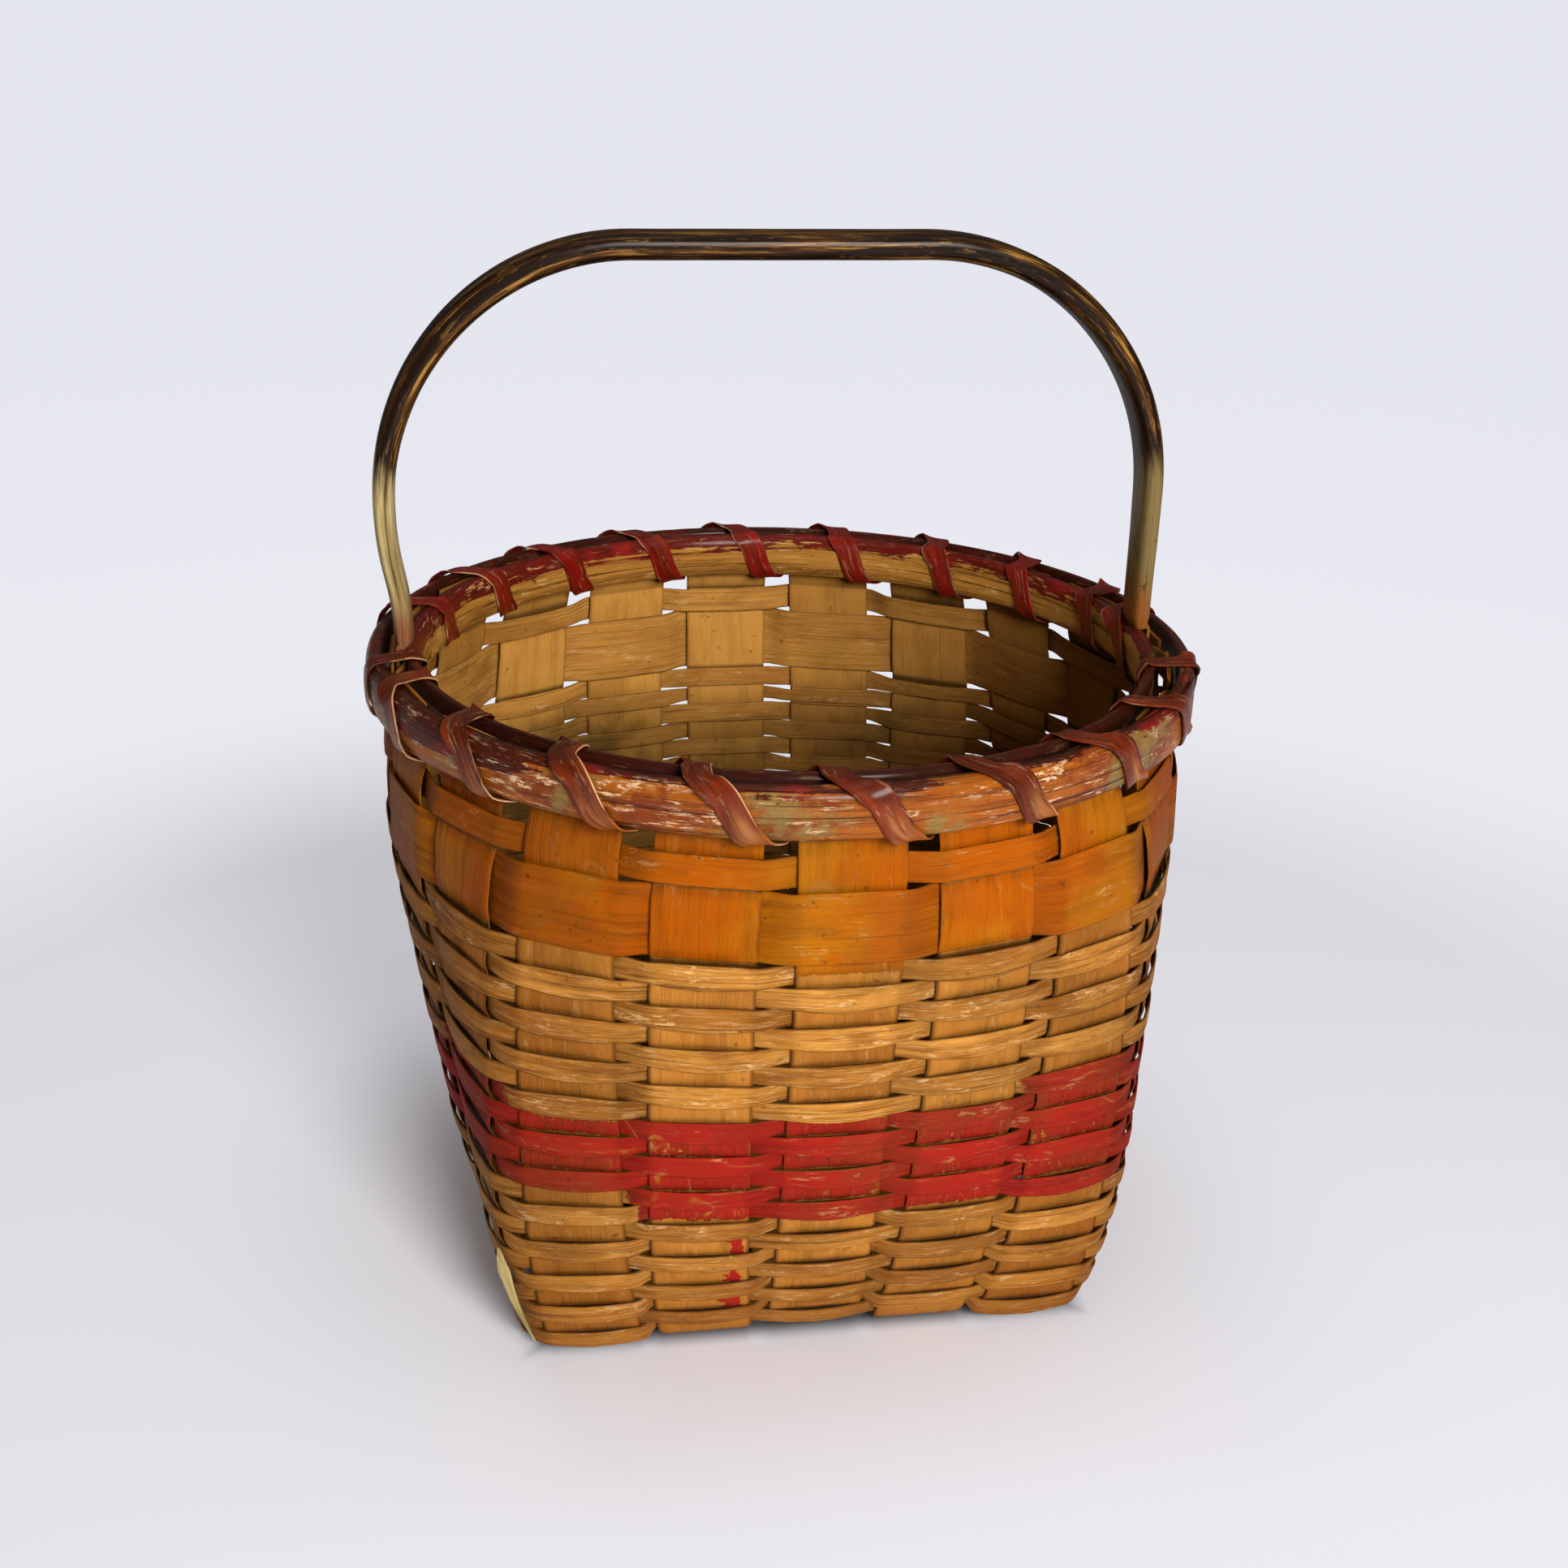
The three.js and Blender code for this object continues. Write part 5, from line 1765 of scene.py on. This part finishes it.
@dataclass
class Rim:
    """The two hoops and the lashing that binds them over the ends of the stakes."""

    form: BasketForm
    tool: SweepTool
    outer_scarf_at: float = -0.9
    inner_scarf_at: float = 2.4
    scarf_angle: float = 0.48
    scarf_tip: float = 0.9
    hoop_steps: int = 220
    lashing_width: float = 9.4
    lashing_thickness: float = 0.9
    lashing_lift: float = 0.35
    lashing_crossing: float = 0.4
    lashing_past_leg: float = 0.89
    lashing_drift: float = 0.03
    lashing_steps: int = 8
    lashing_spacing: float = 1.6
    tuck_height: float = 3.0
    tuck_narrowing: float = 0.22
    warm_from: float = 0.35
    warm_to: float = 0.95
    scarf_start: float = -0.05
    fullness: float = 0.62

    def hoop_path(self, standoff: float, depth: float, outward: float, starts_at: float) -> Path:
        """A hoop's path, whose first end is tapered under its last one.

        Args:
            standoff: From the middle of the wall to the hoop's flat.
            depth: The hoop's depth, from its flat to its round.
            outward: 1 for the outer hoop and -1 for the inner one.
            starts_at: The angle where the hoop starts.

        Returns:
            The path along the hoop's flat.
        """
        turn = 2 * math.pi
        angles = np.linspace(0.0, turn + self.scarf_angle, self.hoop_steps)
        stations = []
        for angle in angles:
            under = smoothstep(angle, self.scarf_start, self.scarf_angle)
            over = smoothstep(angle, turn, turn + self.scarf_angle)
            thickest = depth - self.scarf_tip - self.form.clear
            low = lerp(0.0, thickest + self.form.clear, float(over))
            high = lerp(self.scarf_tip, depth, float(under))
            point = self.form.rim_point(starts_at + angle, outward * (standoff + low), self.form.hoop_middle)
            stations.append(Station(point, UP * outward, self.form.hoop_height / 2, high - low))
        return Path.from_stations(stations)

    def lashing_path(self) -> Path:
        """The lashing's path: over the outer hoop, through the wall, up over the inner hoop and across.

        Returns:
            The path.
        """
        form = self.form
        lift = self.lashing_lift + self.lashing_thickness / 2
        half_height = form.hoop_height / 2 + lift
        steps = self.lashing_steps

        def outline(depth: float) -> list[Span]:
            """The lashing's way round one hoop.

            Args:
                depth: The hoop's depth.

            Returns:
                Distances out from the hoop's flat, and heights, from the top down.
            """
            made = []
            for i in range(steps + 1):
                rise, out = squared_circle(lerp(math.pi / 2, -math.pi / 2, i / steps), self.fullness)
                made.append(((depth + lift) * out, form.hoop_middle + half_height * rise))
            return made

        outer = [(form.outer_standoff + out, height) for out, height in outline(form.outer_hoop_depth)]
        inner = [(-form.inner_standoff - out, height) for out, height in outline(form.inner_hoop_depth)][::-1]
        stake_angle = 2 * math.pi / form.stake_count
        middle = form.stakes_per_side // 2
        places = []
        for gap in range(form.stake_count):
            next_stake = (gap + 1) % form.stake_count
            past_leg = form.place_of(next_stake) == 0 and form.side_of(next_stake) % 2 == 1
            crossing = self.lashing_past_leg if past_leg else self.lashing_crossing
            start = (gap + 0.5 - middle) * stake_angle - math.pi / 2
            drift = self.lashing_drift
            spans = ((inner, drift, crossing - drift, 0.0), (outer, crossing + drift, 1 - drift, 1.0))
            for loop, begin, end, is_outer in spans:
                for i, (out, height) in enumerate(loop):
                    share = lerp(begin, end, min(i / (steps - 1 + is_outer), 1.0))
                    angle = start + share * stake_angle
                    places.append((angle, form.rim_point(angle, out, height), is_outer * i / steps))
        points = np.array([p for _, p, _ in places])
        ahead = unit(np.gradient(points, axis=0))
        stations = []
        for (angle, point, low), along in zip(places, ahead):
            side = np.array([-form.wall_rim[0] * math.sin(angle), form.wall_rim[1] * math.cos(angle), 0.0])
            side = unit(unit(side) - along * float(np.dot(unit(side), along)))
            away = abs(point[2] - form.hoop_middle)
            tuck = float(smoothstep(away, half_height - self.tuck_height, half_height))
            is_low = point[2] < form.hoop_middle
            width = self.lashing_width * (1.0 - (self.tuck_narrowing * tuck if is_low else 0.0))
            warm = float(smoothstep(low, self.warm_from, self.warm_to))
            stations.append(Station(point, side, width / 2, self.lashing_thickness / 2, 1.0, warm))
        return Path.from_stations(stations)

    def build(
        self, outer: Material, inner: Material, lashing: Material
    ) -> None:
        """Builds and dresses the hoops and the lashing.

        Args:
            outer: The outer hoop's material.
            inner: The inner hoop's material.
            lashing: The lashing's material.
        """
        form = self.form
        path = self.hoop_path(form.outer_standoff, form.outer_hoop_depth, 1.0, self.outer_scarf_at)
        look = {"ripple": 0.9, "ripple_scale": 16.0, "ragged": 0.5}
        piece = self.tool.piece("outer_hoop_wood", path, Outline.HALF_ROUND, outer, 0.63, **look)
        keep(piece, "painted_hoop", "outer_hoop")
        path = self.hoop_path(form.inner_standoff, form.inner_hoop_depth, -1.0, self.inner_scarf_at)
        piece = self.tool.piece("inner_hoop_wood", path, Outline.HALF_ROUND, inner, 5.21, **look)
        keep(piece, "painted_hoop", "inner_hoop")
        path = self.lashing_path().smoothed(self.lashing_spacing)
        look = {"ripple": 0.3, "ripple_scale": 40.0, "ragged": 0.6}
        piece = self.tool.piece("rim_lashing_strip", path, Outline.SPLINT, lashing, 9.4, **look)
        keep(piece, "painted_lashing", "rim_lashing")


@dataclass
class BowHandle:
    """The bent bow and its legs, which run down inside the walls."""

    form: BasketForm
    tool: SweepTool
    height: float = 378.0
    half_span: float = 138.5
    shoulder_height: float = 285.0
    lean: float = -2.2
    grip_half_length: float = 52.0
    grip_width: float = 22.0
    grip_thickness: float = 9.5
    leg_width: float = 17.5
    leg_thickness: float = 7.0
    hook_thickness: float = 5.0
    hook_height: float = 7.0
    tail_thickness: float = 3.0
    tail_tip_thickness: float = 1.6
    tail_tip_width: float = 9.0
    leg_length: float = 112.0
    tail_steps: int = 14
    bow_steps: int = 150
    leg_samples: int = 60
    bend_samples: int = 90
    grip_ease: float = 0.3
    tone: float = 3.3

    def leg(self, stake: int) -> list[Station]:
        """One leg beside its stake, from the tip of the tail to just above the rim.

        Args:
            stake: The number of the stake.

        Returns:
            The stations.
        """
        form = self.form
        step = form.clear / 2
        tip = form.rim_height - self.leg_length
        tail_top = form.hoop_bottom - form.clear - self.hook_height
        heights = [
            (float(h), lerp(self.tail_tip_thickness, self.tail_thickness, (h - tip) / (tail_top - tip)))
            for h in np.linspace(tip, tail_top, self.tail_steps)
        ]
        heights += [
            (tail_top + step, self.hook_thickness),
            (form.hoop_bottom - form.clear - step, self.hook_thickness),
            (form.hoop_bottom - form.clear, form.notch_thickness),
            (form.rim_height + form.clear, form.notch_thickness),
            (form.rim_height + form.clear + step, self.leg_thickness),
        ]
        made = []
        for height, thickness in heights:
            point, out = form.stake_point(stake, form.share_at(stake, height))
            taper = min(max((height - tip) / (tail_top - tip), 0.0), 1.0)
            width = lerp(self.tail_tip_width, self.leg_width, taper)
            inward = form.stake_thickness / 2 + form.clear + thickness / 2
            made.append(Station(point - out * inward, np.array([0.0, 1.0, 0.0]), width / 2, thickness / 2))
        return made

    def bow_line(self, foot: np.ndarray) -> np.ndarray:
        """Points along the bow, from the left foot over the grip to the right foot.

        Args:
            foot: The right foot, just above the rim.

        Returns:
            The points.
        """
        grip_height = self.height - self.grip_thickness / 2
        bend_width = self.half_span - self.grip_half_length
        bend_height = grip_height - self.shoulder_height
        pull = (self.shoulder_height - foot[2]) / 2
        left, right = self.lean - self.half_span, self.lean + self.half_span

        shoulder, square = self.shoulder_height, math.pi / 2
        t = np.linspace(0.0, 1.0, self.leg_samples)[:, None]

        def curve(*ends: Span) -> np.ndarray:
            """Points along the smooth curve from the first to the last of four points."""
            a, b, c, d = (np.array(p) for p in ends)
            return a * (1 - t) ** 3 + b * 3 * t * (1 - t) ** 2 + c * 3 * t**2 * (1 - t) + d * t**3

        def bend(middle: float, begin: float, end: float) -> np.ndarray:
            """Points along a quarter of an oval, between two angles."""
            a = np.linspace(begin, end, self.bend_samples)
            return np.stack([middle + bend_width * np.cos(a), shoulder + bend_height * np.sin(a)], axis=1)

        up = curve((-foot[0], foot[2]), (-foot[0], foot[2] + pull), (left, shoulder - pull), (left, shoulder))
        left_bend = bend(left + bend_width, math.pi, square)
        right_bend = bend(right - bend_width, square, 0.0)
        end, before_end = (foot[0], foot[2]), (foot[0], foot[2] + pull)
        down = curve((right, shoulder), (right, shoulder - pull), before_end, end)
        line = np.vstack([up, left_bend, right_bend, down])
        reach = reach_along(line)
        fresh = np.concatenate([[True], np.diff(reach) > 1e-6])
        at = np.linspace(0.0, reach[-1], self.bow_steps + 1)
        flat = np.stack([np.interp(at, reach[fresh], line[fresh, i]) for i in (0, 1)], axis=1)
        return np.stack([flat[:, 0], np.zeros(len(flat)), flat[:, 1]], axis=1)

    def build(self, finish: Material) -> None:
        """Builds and dresses the handle.

        Args:
            finish: The handle's material.
        """
        form = self.form
        middle = form.stakes_per_side + form.stakes_per_side // 2
        right, left = self.leg(middle), self.leg(middle + 2 * form.stakes_per_side)
        line = self.bow_line(right[-1].point)
        bow = []
        for i in range(1, self.bow_steps):
            share = i / self.bow_steps
            grip = float(smoothstep(min(share, 1 - share), 0.0, self.grip_ease))
            width = lerp(self.leg_width, self.grip_width, grip)
            thickness = lerp(self.leg_thickness, self.grip_thickness, grip)
            bow.append(Station(line[i], np.array([0.0, 1.0, 0.0]), width / 2, thickness / 2))
        path = Path.from_stations(left + bow + right[::-1])
        look = {"tone": self.tone, "ripple": 0.5, "ripple_scale": 18.0, "ragged": 0.6}
        piece = self.tool.piece("bow_handle_wood", path, Outline.BOW, finish, **look)
        keep(piece, "dark_handle", "bow_handle")


@dataclass(frozen=True)
class Lamp:
    """A large soft lamp: its place, where it points, its size, strength and colour, and whether it glints."""

    name: str
    place: Spot
    aim: Spot
    size: float
    watts: float
    colour: str
    is_glossy: bool = True

    def build(self) -> None:
        """Puts the lamp in the scene."""
        lamp = bpy.data.lights.new(self.name, "AREA")
        lamp.shape = "DISK"
        lamp.size = self.size
        lamp.energy = self.watts
        lamp.color = linear(self.colour)[:3]
        made = bpy.data.objects.new(self.name, lamp)
        made.visible_camera = False
        made.visible_glossy = self.is_glossy
        made.location = self.place
        towards = Vector(self.aim) - Vector(self.place)
        made.rotation_euler = towards.to_track_quat("-Z", "Y").to_euler()
        bpy.context.scene.collection.objects.link(made)


@dataclass
class Studio:
    """A pale floor, soft light and a camera at the photograph's angle."""

    target: Spot = (0.00275, 0.0, 0.174)
    distance: float = 0.7967
    azimuth: float = -9.449
    elevation: float = 21.39
    roll: float = 1.215
    lens: float = 48.36
    sensor: float = 36.0
    clip_end: float = 200.0
    floor_half: float = 40.0
    floor_height: float = -0.0004
    floor_colour: str = "#eff2ff"
    near_fade: Span = (0.1, 0.24)
    near_glow: float = 0.45
    far_fade: Span = (0.16, 0.7)
    front_fade: Span = (-0.11, -0.26)
    front_glow: float = 0.95
    contact_shadow_fade: Span = (0.106, 0.094)
    contact_shadow_share: float = 0.9
    contact_shadow_colour: str = "#2c2a28"
    backdrop_fade: Span = (0.3, 2.0)
    glow_colour: str = "#ebebf2"
    backdrop_colour: str = "#e5e6ee"
    soft_colour: str = "#fff6ea"
    soft_light: float = 0.1
    lamps: tuple[Lamp, ...] = (
        Lamp("key_lamp", (0.28, -1.52, 0.86), (0.0, 0.0, 0.14), 0.6, 34.0, "#fffaf2"),
        Lamp("fill_lamp", (-1.2, -0.6, 0.9), (0.0, 0.0, 0.15), 1.4, 0.4, "#fff8ee"),
        Lamp("top_lamp", (0.1, 0.2, 1.6), (0.0, 0.0, 0.1), 1.2, 3.6, "#ffffff"),
        Lamp("back_lamp", (-0.4, 1.5, 0.36), (0.0, 0.0, 0.15), 0.9, 8.5, "#fff8ee", is_glossy=False),
    )

    def floor(self) -> None:
        """A wide pale floor that takes the basket's shadow, with a painted contact shadow under the base, and
        fades into the backdrop.
        """
        mesh = bpy.data.meshes.new("studio_floor")
        signs = ((-1, -1), (1, -1), (1, 1), (-1, 1))
        corners = [(x * self.floor_half, y * self.floor_half, self.floor_height) for x, y in signs]
        mesh.from_pydata(corners, [], [(0, 1, 2, 3)])
        floor = bpy.data.objects.new("studio_floor", mesh)
        bpy.context.scene.collection.objects.link(floor)
        made = bpy.data.materials.new("studio_floor")
        desk = NodeDesk.fresh(made)
        place = desk.add("ShaderNodeTexCoord").outputs["Object"]
        away = desk.add("ShaderNodeVectorMath", {0: place}, operation="LENGTH").outputs["Value"]
        near = desk.step(away, *self.near_fade, end=self.near_glow)
        far = desk.most(near, desk.step(away, *self.far_fade))
        spot = desk.parts(place)
        far = desk.most(far, desk.step(spot[1], *self.front_fade, end=self.front_glow))
        # Painted contact shadow: the floor is darkened under the basket's base.
        reach = desk.most(desk.size(spot[0]), desk.size(spot[1]))
        contact_shadow = desk.step(reach, *self.contact_shadow_fade, end=self.contact_shadow_share)
        ground = desk.blend(contact_shadow, self.floor_colour, self.contact_shadow_colour)
        seen = desk.add("ShaderNodeLightPath").outputs["Is Camera Ray"]
        distant = desk.step(away, *self.backdrop_fade)
        colour = desk.blend(distant, self.glow_colour, self.backdrop_colour)
        matt = desk.add("ShaderNodeBsdfDiffuse", {"Color": ground}).outputs[0]
        glow = desk.add("ShaderNodeEmission", {"Color": colour, "Strength": 1.0}).outputs[0]
        share = desk.times(far, seen)
        mixed = desk.add("ShaderNodeMixShader", {0: share, 1: matt, 2: glow}).outputs[0]
        desk.add("ShaderNodeOutputMaterial", {"Surface": mixed})
        mesh.materials.append(made)

    def world(self) -> None:
        """Even light from all round, in front of a pale backdrop."""
        world = bpy.data.worlds.new("studio_world")
        bpy.context.scene.world = world
        desk = NodeDesk.fresh(world)
        seen = desk.add("ShaderNodeLightPath").outputs["Is Camera Ray"]
        lights = {self.soft_colour: self.soft_light, self.backdrop_colour: 1.0}
        soft, pale = (
            desk.add("ShaderNodeBackground", {"Color": linear(code), "Strength": strength}).outputs[0]
            for code, strength in lights.items()
        )
        mixed = desk.add("ShaderNodeMixShader", {0: seen, 1: soft, 2: pale}).outputs[0]
        desk.add("ShaderNodeOutputWorld", {"Surface": mixed})

    def camera(self) -> None:
        """The camera, where the photograph was taken from."""
        azimuth, elevation, roll = (math.radians(a) for a in (self.azimuth, self.elevation, self.roll))
        back = Vector((
            math.sin(azimuth) * math.cos(elevation),
            -math.cos(azimuth) * math.cos(elevation),
            math.sin(elevation),
        ))
        level = Vector((0.0, 0.0, 1.0)).cross(back).normalized()
        upright = back.cross(level)
        right = level * math.cos(roll) + upright * math.sin(roll)
        up = upright * math.cos(roll) - level * math.sin(roll)
        place = Vector(self.target) + back * self.distance
        camera = bpy.data.cameras.new("photo_camera")
        camera.sensor_width = self.sensor
        camera.lens = self.lens
        camera.clip_end = self.clip_end
        made = bpy.data.objects.new("photo_camera", camera)
        turn = Matrix((right, up, back)).transposed().to_4x4()
        made.matrix_world = Matrix.Translation(place) @ turn
        bpy.context.scene.collection.objects.link(made)
        bpy.context.scene.camera = made

    def build(self) -> None:
        """Sets up floor, light and camera."""
        self.floor()
        self.world()
        for lamp in self.lamps:
            lamp.build()
        self.camera()
        bpy.context.scene.view_settings.view_transform = "Standard"


def main() -> None:
    """Builds the basket's pieces in order, and the studio round them."""
    logging.basicConfig(level=logging.INFO, format="%(name)s: %(message)s")
    form = BasketForm()
    plan = PaintPlan(form)
    tool = SweepTool()
    book = FinishBook()
    stakes = SplintFinish(
        "stake_splint", wood="#bd7c30", wear=0.85, red_wear=1.7, crack=0.1, streak=0.12, patch=0.5,
        fibre=0.16, fleck=0.15, line=0.08, has_drip=True,
    )
    StakeSet(form, plan, tool).build(stakes.build(book))
    WeaverSet(form, plan, tool).build(SplintFinish("weaver_splint").build(book))
    fresh = SplintFinish(
        "fresh_split", wood="#cbb980", dark_wood="#8c7442", pale_wood="#eee4bc", fleck=0.3, side_shade=0.0
    )
    CornerSliver(tool).build(fresh.build(book))
    outer = HoopFinish("outer_hoop_paint").build(book)
    inner = HoopFinish(
        "inner_hoop_paint", wood="#bd8336", old_wood="#84531c", chip="#dfb272", high_paint="#64140b",
        fresh_paint="#8c1a14", low_cover=0.0, high_from=0.35, front_rub=-0.5, front_dark=0.85,
    )
    Rim(form, tool).build(outer, inner.build(book), LashingFinish("lashing_paint").build(book))
    BowHandle(form, tool).build(HandleFinish("handle_wood").build(book))
    tool.put_away()
    Studio().build()


if __name__ == "__main__":
    main()
